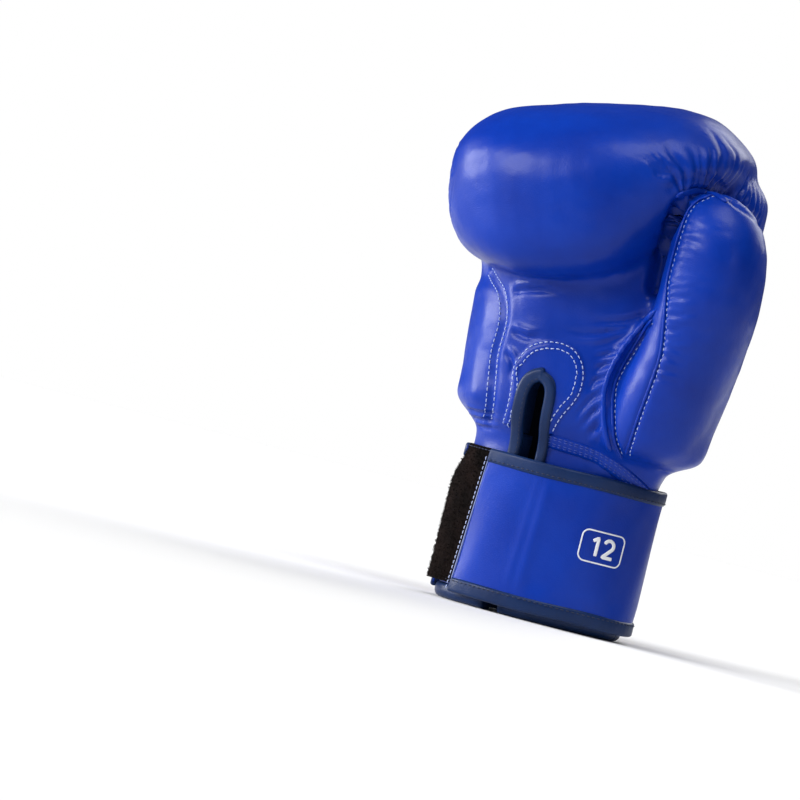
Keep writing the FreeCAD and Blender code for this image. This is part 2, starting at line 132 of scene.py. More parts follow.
# Level sections of the padded body below the fist roll: level, left, right, front and back reach,
# squareness, and how far the thumb's corner and the outer palm corner are drawn in.
BODY_ROWS = [
    (-6.0, -49.8, 49.8, -33.8, 33.8, 2.0, 0.0, 0.0),
    (84.0, -49.8, 49.6, -33.8, 33.8, 2.0, 0.0, 0.0),
    (91.5, -49.8, 49.0, -34.0, 34.0, 2.1, 0.0, 0.0),
    (97.0, -57.5, 51.0, -38.8, 41.0, 2.3, 0.0, 0.03),
    (103.0, -64.0, 54.5, -42.5, 46.5, 2.4, 0.0, 0.05),
    (120.0, -68.0, 59.0, -44.5, 51.5, 2.5, 0.01, 0.10),
    (148.0, -72.5, 61.5, -45.5, 57.0, 2.6, 0.03, 0.14),
    (174.0, -76.5, 63.0, -45.0, 61.0, 2.6, 0.08, 0.17),
    (194.0, -80.0, 65.5, -44.0, 62.3, 2.6, 0.10, 0.17),
    (215.0, -83.0, 68.0, -42.0, 61.5, 2.6, 0.10, 0.15),
    (231.0, -82.0, 66.0, -38.0, 57.0, 2.6, 0.10, 0.10),
    (246.0, -72.0, 52.0, -34.0, 43.0, 2.6, 0.09, 0.10),
]
# The fist, whose front is the roll that overhangs the palm.
FIST_ROWS = [
    (150.0, -78.0, 61.5, -66.0, 57.0, 2.6, 0.10, 0.04),
    (174.0, -83.0, 63.0, -70.0, 61.0, 2.6, 0.14, 0.03),
    (186.0, -85.0, 63.5, -72.0, 61.8, 2.6, 0.15, 0.02),
    (203.0, -87.0, 67.0, -73.2, 62.3, 2.6, 0.16, 0.0),
    (215.0, -87.3, 70.0, -73.5, 61.5, 2.6, 0.15, -0.04),
    (231.0, -87.3, 70.5, -72.5, 58.5, 2.6, 0.13, -0.08),
    (246.0, -86.5, 62.0, -66.5, 51.5, 2.6, 0.09, -0.10),
    (257.0, -83.0, 51.0, -55.5, 41.5, 2.6, 0.05, -0.09),
    (266.0, -76.0, 40.0, -40.5, 28.0, 2.5, 0.02, -0.06),
    (271.5, -63.0, 29.0, -25.0, 14.5, 2.4, 0.0, -0.03),
    (274.5, -45.0, 15.0, -12.0, 3.0, 2.3, 0.0, 0.0),
]
# The thumb, upright: the same, with no corner drawn in.
THUMB_ROWS = [
    (95.0, 33.0, 57.0, -38.5, -12.0, 2.2),
    (97.5, 28.5, 65.0, -43.5, -6.0, 2.2),
    (102.0, 25.0, 70.5, -47.5, -1.0, 2.2),
    (114.0, 24.5, 75.0, -52.0, 3.5, 2.2),
    (132.0, 27.0, 79.5, -57.0, 4.0, 2.2),
    (157.0, 32.5, 85.0, -61.5, 1.0, 2.2),
    (183.0, 36.0, 89.0, -64.5, -5.0, 2.2),
    (206.0, 36.5, 88.0, -64.5, -11.0, 2.2),
    (221.0, 37.5, 83.5, -61.0, -17.0, 2.2),
    (231.0, 40.5, 76.5, -55.0, -24.0, 2.2),
    (236.5, 47.0, 69.5, -48.5, -31.0, 2.1),
    (238.5, 53.0, 62.0, -43.0, -36.0, 2.1),
]
# Tilt of the mitt's sections towards the thumb side, in degrees, by level. They turn about TILT_AXIS_X.
TILT_ROWS = [
    (94.0, 0.0), (103.0, 0.5), (120.0, 2.5), (148.0, 6.0), (174.0, 8.5), (186.0, 9.5), (194.0, 10.0),
    (274.0, 10.0),
]
TILT_AXIS_X = -13.0
GRID_LOW = np.array([-102.0, -86.0, -8.0])
GRID_HIGH = np.array([104.0, 76.0, 290.0])
# The thumb's corner and the outer palm corner: direction and width in degrees.
DENTS = ((-44.0, 26.0), (-152.0, 30.0))
BODY_TOP = 250.0
FIST_TOP = 274.0
THUMB_FOOT, THUMB_TOP = 95.0, 238.5
# Rounding under the roll, and where two forms meet in a crease.
ROLL_ROUNDING = 22.0
CREASE_ROUNDING = 3.0
# Level at which the fist roll starts, against x: lowest over the palm, climbing beside the thumb.
ROLL_START = [
    (-95.0, 199.0), (-76.0, 189.0), (-55.0, 181.0), (-36.0, 176.0), (-14.0, 175.5), (2.0, 177.5),
    (17.0, 183.0), (30.0, 194.0), (38.0, 206.0), (44.0, 222.0), (60.0, 236.0), (75.0, 240.0),
]


def level_of(points):
    """The level of the mitt's tilted sections that each point lies on."""
    level = points[:, 2].copy()
    for _ in range(5):
        tilt = np.radians(hermite(level, TILT_ROWS)[:, 0])
        level = points[:, 2] - (points[:, 0] - TILT_AXIS_X) * np.tan(tilt)
    return level


def oval_distance(points, level, rows):
    """About how far each point is outside the oval of its level, in millimetres."""
    left, right, front, rear, square, *dents = hermite(level, rows).T
    x = points[:, 0] - (left + right) / 2
    y = points[:, 1] - (front + rear) / 2
    half_x = (right - left) / 2
    half_y = (rear - front) / 2
    reach = np.hypot(x, y) + 1e-6
    cos, sin = x / reach, y / reach
    edge = (np.abs(cos / half_x) ** square + np.abs(sin / half_y) ** square) ** (-1 / square)
    angle = np.degrees(np.arctan2(y, x))
    for depth, (at, width) in zip(dents, DENTS):
        off = ((angle - at + 180) % 360 - 180) / width
        edge *= 1 - depth * np.exp(-off**2)
    lean = np.clip(edge / np.maximum(half_x, half_y), 0.35, 1)
    return (reach - edge) * lean


def true_distance(values, step):
    """Turns a field that is zero on the surface into distances near it."""
    slope = np.sqrt(sum(g**2 for g in np.gradient(values, step)))
    return values / np.clip(slope, 0.35, 4)


def blur(values, passes):
    """Smooths a field a little along each axis."""
    for _ in range(passes):
        for axis in range(3):
            wide = np.pad(values, [(1, 1) if k == axis else (0, 0) for k in range(3)], mode="edge")
            count = values.shape[axis]
            before, after = (wide.take(range(i, i + count), axis) for i in (0, 2))
            values = (before + 2 * values + after) / 4
    return values


def mitt_field(points, shape, step):
    """Distances from the padded body with its fist roll."""
    level = level_of(points)
    body = np.maximum(oval_distance(points, level, BODY_ROWS), level - BODY_TOP)
    body = blur(body.reshape(shape), 2)
    start = np.interp(points[:, 0], *np.array(ROLL_START).T)
    fist = np.maximum(oval_distance(points, level, FIST_ROWS), level - FIST_TOP)
    fist = true_distance(blur(fist.reshape(shape), 3), step)
    under = (start - level).reshape(shape)
    fist = -smooth_min(-fist, -under, ROLL_ROUNDING)
    return smooth_min(true_distance(body, step), fist, CREASE_ROUNDING)


def thumb_field(points, shape, step):
    """Distances from the thumb."""
    level = points[:, 2]
    beyond = np.maximum(level - THUMB_TOP, THUMB_FOOT - level)
    field = np.maximum(oval_distance(points, level, THUMB_ROWS), beyond)
    return true_distance(blur(field.reshape(shape), 3), step)


def leather_field(points, shape, step):
    """The mitt and the thumb as one: a fading valley behind, a crease in front."""
    mitt = mitt_field(points, shape, step)
    thumb = thumb_field(points, shape, step)
    y = points[:, 1].reshape(shape)
    z = points[:, 2].reshape(shape)
    behind = smoothstep(y, -45, -12)
    web = behind * (4 + 30 * smoothstep(-z, -232, -150))
    heel = 8 * smoothstep(-z, -120, -104) * smoothstep(z, 92, 101)
    return smooth_min(mitt, thumb, CREASE_ROUNDING + web + heel)


def surface_net(values, origin, step):
    """Points and quads of the zero surface of a field on a regular grid, facing outwards."""
    cells = tuple(n - 1 for n in values.shape)
    total = np.zeros((int(np.prod(cells)), 3))
    count = np.zeros(int(np.prod(cells)))
    faces = []
    for axis in range(3):
        u, v = (axis + 1) % 3, (axis + 2) % 3
        low = np.moveaxis(values, axis, 0)[:-1]
        high = np.moveaxis(values, axis, 0)[1:]
        cross = np.moveaxis((low < 0) != (high < 0), 0, axis)
        index = np.argwhere(cross)
        low = np.moveaxis(low, 0, axis)[cross]
        high = np.moveaxis(high, 0, axis)[cross]
        inner = np.all((index[:, [u, v]] > 0) & (index[:, [u, v]] < np.array(cells)[[u, v]]), axis=1)
        index, low, high = index[inner], low[inner], high[inner]
        at = index.astype(float)
        at[:, axis] += low / (low - high)
        corners = []
        for off_u, off_v in ((0, 0), (1, 0), (1, 1), (0, 1)):
            cell = index.copy()
            cell[:, u] -= off_u
            cell[:, v] -= off_v
            flat = np.ravel_multi_index(cell.T, cells)
            corners.append(flat)
            count += np.bincount(flat, minlength=len(count))
            for k in range(3):
                total[:, k] += np.bincount(flat, weights=at[:, k], minlength=len(count))
        quads = np.stack(corners, axis=1)
        outward = low < 0
        faces.append(quads[outward])
        faces.append(quads[~outward][:, ::-1])
    used = np.flatnonzero(count)
    number = np.full(len(count), -1)
    number[used] = np.arange(len(used))
    points = total[used] / count[used, None] * step + origin
    return points, number[np.vstack(faces)]


def edges_of(quads):
    """The unique edges of quads."""
    pairs = np.vstack([quads[:, [i, (i + 1) % 4]] for i in range(4)])
    return np.unique(np.sort(pairs, axis=1), axis=0)


def relax(points, edges, passes):
    """Moves points halfway to the middle of their neighbours, several times."""
    count = np.bincount(edges.ravel(), minlength=len(points))[:, None]
    for _ in range(passes):
        mean = np.zeros_like(points)
        for k in range(3):
            mean[:, k] = np.bincount(edges[:, 0], points[edges[:, 1], k], len(points))
            mean[:, k] += np.bincount(edges[:, 1], points[edges[:, 0], k], len(points))
        points = points + (mean / count - points) * 0.5
    return points


def normals_of(points, quads):
    """Outward normals at points."""
    across = points[quads[:, 2]] - points[quads[:, 0]]
    other = points[quads[:, 3]] - points[quads[:, 1]]
    facing = np.cross(across, other)
    total = np.zeros_like(points)
    for corner in range(4):
        for k in range(3):
            total[:, k] += np.bincount(quads[:, corner], facing[:, k], len(points))
    return total / (np.linalg.norm(total, axis=1, keepdims=True) + 1e-12)


def refine(points, quads):
    """The surface with each quad parted into four, smoothly."""
    mesh = bpy.data.meshes.new("coarse")
    mesh.from_pydata(points.tolist(), [], quads.tolist())
    obj = bpy.data.objects.new("coarse", mesh)
    bpy.context.scene.collection.objects.link(obj)
    obj.modifiers.new("parts", "SUBSURF").levels = 1
    bpy.context.view_layer.update()
    fine = obj.evaluated_get(bpy.context.evaluated_depsgraph_get()).data
    flat = np.empty(len(fine.vertices) * 3)
    fine.vertices.foreach_get("co", flat)
    corners = np.empty(len(fine.loops), int)
    fine.loops.foreach_get("vertex_index", corners)
    bpy.data.objects.remove(obj)
    bpy.data.meshes.remove(mesh)
    return flat.reshape(-1, 3), corners.reshape(-1, 4)


def leather_surface(step):
    """The whole leather surface of mitt, thumb and cuff, at half the step of its grid."""
    shape = tuple(np.ceil((GRID_HIGH - GRID_LOW) / step).astype(int))
    grid = np.indices(shape).reshape(3, -1).T * step + GRID_LOW
    points, quads = surface_net(leather_field(grid, shape, step), GRID_LOW, step)
    return refine(relax(points, edges_of(quads), 3), quads)


# ------------------------------------------------- marks on the leather's surface

# Curves below are drawn in a level view, as (across, height) in millimetres. The ones of the palm
# are in the view from VIEW_AZIMUTH, and those of the back are in the view from behind.
REAR_AZIMUTH = 180.0
KNUCKLE_AZIMUTH = 215.0
SLIT_X = -11.5
SLIT_HALF = 5.0
SLIT_TOP = 118.0
FLAP_TOP = 93.4
NECK_Z = 94.0
HINGE_Y = -4.0
EDGE_SEAM = [
    (-62.5, 172.0), (-58.5, 167.5), (-54.5, 163.0), (-51.3, 155.0), (-49.8, 147.0), (-49.8, 139.0),
    (-50.0, 131.0), (-48.5, 121.0), (-47.0, 112.0), (-45.4, 102.5), (-45.0, 96.0),
]
PATCH_OUTER = [
    (-37.5, 96.5), (-37.3, 107.7), (-38.5, 120.0), (-38.8, 128.3), (-36.6, 134.3), (-32.4, 139.9),
    (-25.0, 143.4), (-17.0, 144.2), (-10.0, 141.9), (-4.9, 136.3), (-2.6, 129.6), (-2.4, 121.5),
    (-4.5, 114.7), (-7.8, 108.3), (-10.2, 101.4), (-10.6, 97.5),
]
WELT_OUTER = [
    (23.8, 172.0), (18.4, 160.8), (13.4, 150.2), (10.4, 140.9), (9.0, 132.8), (8.8, 125.8),
    (10.4, 117.0), (13.9, 106.3), (19.5, 96.0),
]
WELT_INNER = [
    (23.2, 167.0), (18.6, 153.2), (15.2, 142.1), (13.4, 133.0), (13.5, 125.3), (15.9, 114.4),
    (20.3, 101.6), (26.6, 93.5),
]
THUMB_RIDGE = [
    (37.6, 236.4), (30.6, 231.5), (26.9, 223.6), (25.5, 211.2), (25.2, 198.3), (25.6, 186.6),
    (27.4, 175.6), (29.7, 162.1), (31.3, 148.9), (30.2, 132.7), (28.6, 115.2), (27.6, 96.0),
]
# The seam over the thumb's tip, and the edge of the fist above it.
THUMB_TIP = [
    (22.0, 234.2), (27.3, 236.9), (34.4, 238.6), (40.6, 237.3), (50.7, 234.0), (60.7, 229.5), (68.8, 225.0),
]
FIST_OVER_THUMB = [
    (15.0, 231.0), (18.0, 238.0), (25.0, 242.5), (33.0, 244.5), (41.0, 242.5), (50.0, 238.5), (60.0, 233.5),
    (68.0, 228.5),
]
# The strip that ties the thumb's tip, and the crease between thumb and roll.
THUMB_TIE = [(19.0, 231.0), (25.9, 236.0), (33.6, 237.7), (40.0, 236.4), (45.0, 234.0)]
CREASE = [(24.0, 233.0), (22.0, 224.0), (21.5, 212.0), (21.0, 198.0), (21.0, 186.0), (21.5, 176.0)]
# The upper edge of the band across the heel of the palm.
HEEL_TOP = [(-13.0, 96.6), (2.0, 96.0), (12.6, 94.8), (24.0, 91.6), (34.0, 87.6), (43.0, 82.5), (49.0, 78.5)]
# Soft folds in the palm, each from its deep end to where it dies out: ten by the thumb, three by the
# outer edge.
PALM_FOLDS = [
    [(21.5, 170.0), (10.0, 163.0), (-8.0, 158.0)],
    [(21.0, 166.0), (9.0, 158.5), (-6.0, 152.0), (-22.0, 150.0)],
    [(18.5, 161.0), (9.0, 154.0), (-2.0, 148.5)],
    [(15.5, 155.0), (8.0, 150.0), (-3.0, 145.5)],
    [(12.5, 148.5), (6.0, 144.5), (-1.0, 139.0)],
    [(10.0, 141.0), (5.0, 138.0), (0.5, 132.0)],
    [(8.5, 133.0), (3.5, 129.5), (0.5, 122.0)],
    [(8.5, 124.0), (4.0, 120.0), (-1.0, 110.0), (-3.0, 104.0)],
    [(9.5, 118.0), (5.0, 112.0), (1.0, 102.0)],
    [(12.5, 110.0), (8.5, 104.0), (6.0, 98.5)],
    [(-45.5, 144.0), (-36.0, 142.5), (-28.0, 145.5)],
    [(-46.0, 133.0), (-40.5, 127.5), (-40.0, 118.0)],
    [(-50.0, 164.0), (-36.0, 168.0), (-20.0, 169.0)],
]
# Folds where the palm meets the cuff.
NECK_FOLDS = [
    [(-56.0, 99.0), (-47.0, 98.5), (-38.5, 100.0)],
    [(-55.5, 95.8), (-47.0, 95.2), (-37.0, 96.5)],
    [(-54.0, 92.0), (-46.0, 91.5), (-36.0, 92.8)],
    [(46.0, 92.6), (53.0, 92.0), (59.0, 92.8)],
]
# Lines on the back that pleats run out from: the outer knuckles' edge and the thumb's crotch.
REAR_KNUCKLES = [(86.5, 170.0), (87.5, 190.0), (87.8, 206.0), (86.8, 222.0), (83.0, 238.0)]
REAR_CROTCH = [(-44.0, 236.0), (-50.0, 222.0), (-52.0, 206.0), (-53.0, 190.0), (-54.0, 172.0)]


class Surface:
    """The leather's points, where curves drawn in a level view are laid and marks are pressed in."""

    def __init__(self, points, quads):
        self.points = points
        self.quads = quads
        self.refresh()

    def refresh(self):
        """Works out the normals and the search tree of the points as they are now."""
        self.normals = normals_of(self.points, self.quads)
        self.tree = BVHTree.FromPolygons(self.points.tolist(), self.quads.tolist())
        self.shift = np.zeros(len(self.points))

    def trace(self, marks, azimuth=VIEW_AZIMUTH):
        """The points and normals where a curve drawn in a level view meets the surface."""
        turn = math.radians(azimuth)
        right = np.array([math.cos(turn), math.sin(turn), 0])
        away = np.array([-math.sin(turn), math.cos(turn), 0])
        drawn = spline(marks, max(int(length_of(np.asarray(marks, float)) / PATH_SPACING), 4))
        hits = []
        for across, height in drawn:
            start = right * across - away * 300 + np.array([0, 0, height])
            point, *_ = self.tree.ray_cast(Vector(start), Vector(away))
            if point is not None:
                hits.append(point[:])
        return self.settle(np.array(hits))

    def settle(self, hits):
        """Evens out the points of a path, and gives each with the normal nearby."""
        path = even(hits, max(int(length_of(hits) / PATH_SPACING), 4))
        for _ in range(3):
            path[1:-1] = (path[:-2] + 2 * path[1:-1] + path[2:]) / 4
        nearest = [self.tree.find_nearest(Vector(p)) for p in path]
        return np.array([n[0][:] for n in nearest]), np.array([n[1][:] for n in nearest])

    def near(self, path, reach):
        """The points within reach of a path: which, how far, how far along, on which side, its length."""
        low, high = path.min(axis=0) - reach, path.max(axis=0) + reach
        which = np.flatnonzero(np.all((self.points > low) & (self.points < high), axis=1))
        steps = np.linalg.norm(np.diff(path, axis=0), axis=1)
        along = np.concatenate([[0], np.cumsum(steps)])
        best = np.full(len(which), 1e9)
        index = np.zeros(len(which), int)
        for i, spot in enumerate(path):
            far = np.linalg.norm(self.points[which] - spot, axis=1)
            closer = far < best
            best[closer] = far[closer]
            index[closer] = i
        keep = best < reach
        which, index = which[keep], index[keep]
        ahead = np.minimum(index + 1, len(path) - 1)
        behind = np.maximum(index - 1, 0)
        heading = path[ahead] - path[behind]
        heading /= np.linalg.norm(heading, axis=1, keepdims=True) + 1e-9
        offset = self.points[which] - path[index]
        lengthways = np.sum(offset * heading, axis=1)
        offset -= heading * lengthways[:, None]
        distance = np.linalg.norm(offset, axis=1)
        past_end = np.maximum(lengthways - 1, 0) * (index == len(path) - 1)
        past_start = np.maximum(-lengthways - 1, 0) * (index == 0)
        distance = np.hypot(distance, past_end + past_start)
        side = np.sign(np.sum(np.cross(heading, offset) * self.normals[which], axis=1))
        return which, distance, along[index] + lengthways, side, along[-1]

    def groove(self, path, depth, width, taper=6.0):
        """A valley along a path, or a ridge if the depth is negative, fading in at both ends."""
        which, distance, along, _, total = self.near(path, width * 3.2)
        ends = 1.0
        if taper:
            ends = smoothstep(along, -1, taper) * smoothstep(-along, -total - 1, -total + taper)
        self.shift[which] -= depth * np.exp(-((distance / width) ** 2)) * ends

    def fold(self, path, height, width):
        """A soft fold: a narrow valley with a low ridge beside it."""
        which, distance, along, side, total = self.near(path, width * 4)
        ends = smoothstep(along, -1, 5) * smoothstep(-along, -total - 1, -total * 0.45)
        valley = np.exp(-((distance / width) ** 2))
        ridge = np.exp(-(((distance * side - width * 1.7) / width) ** 2))
        self.shift[which] += height * (0.8 * ridge - valley) * ends

    def gather(self, path, spacing, depth, reach, seed, one_side=0, start=0.0):
        """Pleats that run away from a seam, drawn in at uneven steps along it."""
        which, distance, along, side, total = self.near(path, reach)
        rng = np.random.default_rng(seed)
        places = np.cumsum(rng.uniform(0.6, 1.45, int(total / spacing * 1.6) + 4) * spacing)
        places = places[places < total]
        at = along + lumps(self.points[which], 9.0, seed) * spacing * 0.2
        drop = np.zeros(len(which))
        for place in places:
            long = reach * rng.uniform(0.45, 1.0)
            wide = spacing * rng.uniform(0.2, 0.34) * (1 + distance / reach * 0.8)
            strong = depth * rng.uniform(0.55, 1.0)
            fade = np.clip(1 - distance / long, 0, 1) ** 0.8 * smoothstep(distance, start - 1, start + 1.5)
            across = (at - place) / wide
            drop += strong * fade * (np.exp(-(across**2)) - 0.45 * np.exp(-((across / 2.2) ** 2)))
        ends = smoothstep(along, -3, 5) * smoothstep(-along, -total - 3, -total + 5)
        if one_side:
            ends = ends * (side == one_side)
        self.shift[which] -= drop * ends

    def press(self):
        """Moves the points by what has been marked so far."""
        self.points = self.points + self.normals * self.shift[:, None]
        self.refresh()


def in_view(points):
    """Across and height of points in the level view of the palm."""
    turn = math.radians(VIEW_AZIMUTH)
    return points[:, 0] * math.cos(turn) + points[:, 1] * math.sin(turn), points[:, 2]


def inside(across, height, outline):
    """Whether points of a view lie inside a closed outline."""
    outline = np.asarray(outline, float)
    within = np.zeros(len(across), bool)
    for (x0, z0), (x1, z1) in zip(outline, np.roll(outline, -1, axis=0)):
        crosses = (z0 > height) != (z1 > height)
        reach = (x1 - x0) * (height - z0) / (z1 - z0 + 1e-12) + x0
        within ^= crosses & (across < reach)
    return within


def edge_distance(across, height, outline):
    """Distance in a view from points to an open outline."""
    best = np.full(len(across), 1e9)
    for spot in spline(outline, 160):
        best = np.minimum(best, np.hypot(across - spot[0], height - spot[1]))
    return best


def slit_half(margin, side):
    """Half the slit's outline in the view from the front, from under the strap to the top."""
    half = SLIT_HALF + margin
    arch = [
        (SLIT_X + side * half * math.cos(a), SLIT_TOP + half * math.sin(a))
        for a in np.linspace(0, math.pi / 2 + 0.2, 8)
    ]
    return [(SLIT_X + side * half, z) for z in (72.0, 84.0, 96.0, 107.0)] + arch


def shape_palm(surface):
    """The pad along the palm's outer edge, the reinforced patch round the slit and the hollow palm."""
    across, height = in_view(surface.points)
    facing = surface.points[:, 1] < -6
    seam = np.array(EDGE_SEAM)
    beyond = np.interp(height, seam[::-1, 1], seam[::-1, 0]) - across
    pad = smoothstep(beyond, 1.5, 9) * smoothstep(height, 97, 108) * smoothstep(-height, -170, -160)
    surface.shift += 2.4 * pad * smoothstep(-surface.points[:, 1], -12, 0)
    middle, level = -8.0, 152.0
    hollow = np.exp(-(((across - middle) / 30) ** 2) - ((height - level) / 24) ** 2)
    surface.shift -= 3.0 * hollow * facing * smoothstep(-beyond, 1, 8)
    patch = inside(across, height, PATCH_OUTER) & facing & (height > NECK_Z - 4)
    rim = edge_distance(across, height, PATCH_OUTER)
    surface.shift += np.where(patch, 1.3 * smoothstep(rim, 0, 1.8), 0)


def mark_leather(surface):
    """Presses the seams, gathers and folds into the leather surface."""
    lines = {
        "edge": EDGE_SEAM, "patch": PATCH_OUTER, "welt_outer": WELT_OUTER, "welt_inner": WELT_INNER,
        "ridge": THUMB_RIDGE, "tip": THUMB_TIP, "fist": FIST_OVER_THUMB, "crease": CREASE,
    }
    paths = {name: surface.trace(line)[0] for name, line in lines.items()}
    knuckles, _ = surface.trace(REAR_KNUCKLES, azimuth=KNUCKLE_AZIMUTH)
    crotch, _ = surface.trace(REAR_CROTCH, azimuth=REAR_AZIMUTH)
    folds = [surface.trace(line)[0] for line in PALM_FOLDS]
    neck = [surface.trace(line)[0] for line in NECK_FOLDS]
    shape_palm(surface)
    surface.groove(paths["edge"], 1.8, 3.0, taper=0)
    surface.groove(paths["welt_outer"], -1.6, 2.8)
    surface.groove(paths["welt_inner"], 2.0, 1.6)
    surface.groove(paths["ridge"], 1.2, 1.6)
    surface.groove(paths["tip"], 0.8, 1.8)
    surface.groove(paths["fist"], 1.2, 3.0)
    surface.groove(paths["crease"], 8.0, 3.4, taper=10.0)
    for path in folds:
        surface.fold(path, 1.5, 1.7)
    for path in neck:
        surface.fold(path, 1.1, 1.3)
    surface.press()
    surface.gather(paths["fist"], 4.8, 3.0, 31, seed=4)
    surface.gather(paths["ridge"][20:110], 4.2, 1.2, 20, seed=11, one_side=1, start=1.0)
    surface.gather(paths["ridge"][20:110], 6.0, 0.8, 34, seed=12, one_side=1, start=2.0)
    surface.gather(knuckles, 6.5, 1.5, 30, seed=23)
    surface.gather(crotch, 6.0, 1.6, 26, seed=31)
    surface.shift += 0.22 * lumps(surface.points, 26.0, 5) + 0.07 * lumps(surface.points, 7.0, 6)
    surface.press()


# ------------------------------------------------------------------- making meshes

def make_mesh(name, points, faces, material, smooth=True):
    """A mesh object from points in millimetres."""
    mesh = bpy.data.meshes.new(name)
    mesh.from_pydata((np.asarray(points) * MM).tolist(), [], [list(map(int, f)) for f in faces])
    mesh.validate()
    mesh.polygons.foreach_set("use_smooth", [smooth] * len(mesh.polygons))
    obj = bpy.data.objects.new(name, mesh)
    bpy.context.scene.collection.objects.link(obj)
    obj.data.materials.append(material)
    return obj


def tube(rings):
    """Points and faces of a closed solid through rings of points, with capped ends."""
    count, around = rings.shape[:2]
    faces = []
    for a in range(0, (count - 1) * around, around):
        for j in range(around):
            k = (j + 1) % around
            faces.append((a + j, a + k, a + around + k, a + around + j))
    faces.append(tuple(reversed(range(around))))
    faces.append(tuple(range((count - 1) * around, count * around)))
    return rings.reshape(-1, 3), faces


def join(parts):
    """Several lots of points and faces as one."""
    points = []
    faces = []
    for some_points, some_faces in parts:
        first = sum(len(p) for p in points)
        points.append(some_points)
        faces += [tuple(first + i for i in face) for face in some_faces]
    return np.vstack(points), faces


def sideways_along(path, normals):
    """The sideways direction at each point of a path on a surface."""
    heading = np.gradient(path, axis=0)
    heading /= np.linalg.norm(heading, axis=1, keepdims=True) + 1e-9
    sideways = np.cross(heading, normals)
    sideways /= np.linalg.norm(sideways, axis=1, keepdims=True) + 1e-9
    return sideways


def sweep(path, normals, profile, ends=4):
    """A closed solid of a (side, up) profile swept along a path on a surface, tapered at its ends."""
    sideways = sideways_along(path, normals)
    profile = np.asarray(profile, float)
    grow = np.ones(len(path))
    for i in range(ends):
        grow[i] = grow[-1 - i] = math.sin(math.pi / 2 * (i + 0.6) / ends)
    rings = (
        path[:, None]
        + sideways[:, None] * (profile[None, :, :1] * grow[:, None, None])
        + normals[:, None] * (profile[None, :, 1:] * grow[:, None, None])
    )
    return tube(rings)


def round_profile(radius, lift):
    """A slightly flat round bead as a (side, up) profile."""
    angles = np.linspace(0, 2 * math.pi, 10, endpoint=False)
    return np.stack([radius * np.cos(angles), radius * 0.9 * np.sin(angles) + lift], axis=1)


def pillow_profile(width, height, sink):
    """A band with a crowned top and rounded edges as a (side, up) profile."""
    side = np.linspace(-1, 1, 9)
    top = np.stack([side * width / 2, height * (1 - side**4) ** 0.5], axis=1)
    bottom = np.stack([-side[1:-1] * width / 2, np.full(7, -sink)], axis=1)
    return np.vstack([top, bottom])[::-1]


STITCH_JITTER = 0.12


def stitch_row(path, normals, length, gap, radius=0.3, lift=0.12, *, seed):
    """A row of stitches along a path: short rounded threads that dip into the surface at both ends."""
    total = length_of(path)
    count = max(int(total / (length + gap)), 1)
    rng = np.random.default_rng(seed)
    steps = np.linalg.norm(np.diff(path, axis=0), axis=1)
    along = np.concatenate([[0], np.cumsum(steps)])
    parts = []
    angles = np.linspace(0, 2 * math.pi, 6, endpoint=False)
    for i in range(count):
        start = i * (length + gap) + rng.uniform(-STITCH_JITTER, STITCH_JITTER)
        at = np.clip(start + length * np.array([0.0, 0.12, 0.5, 0.88, 1.0]), 0, total)
        line = np.stack([np.interp(at, along, path[:, k]) for k in range(3)], axis=1)
        up = np.stack([np.interp(at, along, normals[:, k]) for k in range(3)], axis=1)
        line = line + up * np.array([-0.25, lift, lift + 0.14, lift, -0.25])[:, None]
        sideways = sideways_along(line, up)
        thick = radius * np.array([0.4, 0.9, 1.0, 0.9, 0.4])[:, None, None]
        ring = sideways[:, None] * np.cos(angles)[None, :, None]
        ring = ring + up[:, None] * np.sin(angles)[None, :, None]
        parts.append(tube(line[:, None] + ring * thick))
    return join(parts)


def beside(path, normals, offset):
    """A path moved sideways along its surface."""
    sideways = sideways_along(path, normals)
    return path + sideways * offset


def make(name, parts, material):
    """One object of several solids, with its material's slot of the record."""
    points, faces = join(parts)
    obj = make_mesh(name, points, faces, material)
    return obj


# ---------------------------------------------------------------------- materials

def new_material(name, slot=None, **values):
    """A Principled material with plain values on its sockets, and its shader node."""
    material = bpy.data.materials.new(name)
    material.use_nodes = True
    material["slot"] = slot or ""
    shader = material.node_tree.nodes["Principled BSDF"]
    for socket, value in values.items():
        shader.inputs[socket.replace("_", " ")].default_value = value
    return material, shader


def texture(tree, kind, scale, **settings):
    """A procedural texture node in object space."""
    node = tree.nodes.new(kind)
    for setting, value in settings.items():
        if setting in ("feature", "bands_direction"):
            setattr(node, setting, value)
        else:
            node.inputs[setting].default_value = value
    node.inputs["Scale"].default_value = scale
    place = tree.nodes.new("ShaderNodeTexCoord")
    tree.links.new(place.outputs["Object"], node.inputs["Vector"])
    return node


TONE_POSITIONS = (0.3, 0.72)


def two_tones(tree, shader, source, dark, light):
    """Colours a surface between two tones by a texture."""
    ramp = tree.nodes.new("ShaderNodeValToRGB")
    for element, position, colour in zip(ramp.color_ramp.elements, TONE_POSITIONS, (dark, light)):
        element.position = position
        element.color = (*colour, 1)
    tree.links.new(source, ramp.inputs["Fac"])
    tree.links.new(ramp.outputs["Color"], shader.inputs["Base Color"])


def relief(tree, shader, sources, distance, strength):
    """Bumps a surface by the sum of textures."""
    total = sources[0]
    for source in sources[1:]:
        add = tree.nodes.new("ShaderNodeMath")
        add.operation = "ADD"
        tree.links.new(total, add.inputs[0])
        tree.links.new(source, add.inputs[1])
        total = add.outputs["Value"]
    bump = tree.nodes.new("ShaderNodeBump")
    bump.inputs["Strength"].default_value = strength
    bump.inputs["Distance"].default_value = distance
    tree.links.new(total, bump.inputs["Height"])
    tree.links.new(bump.outputs["Normal"], shader.inputs["Normal"])


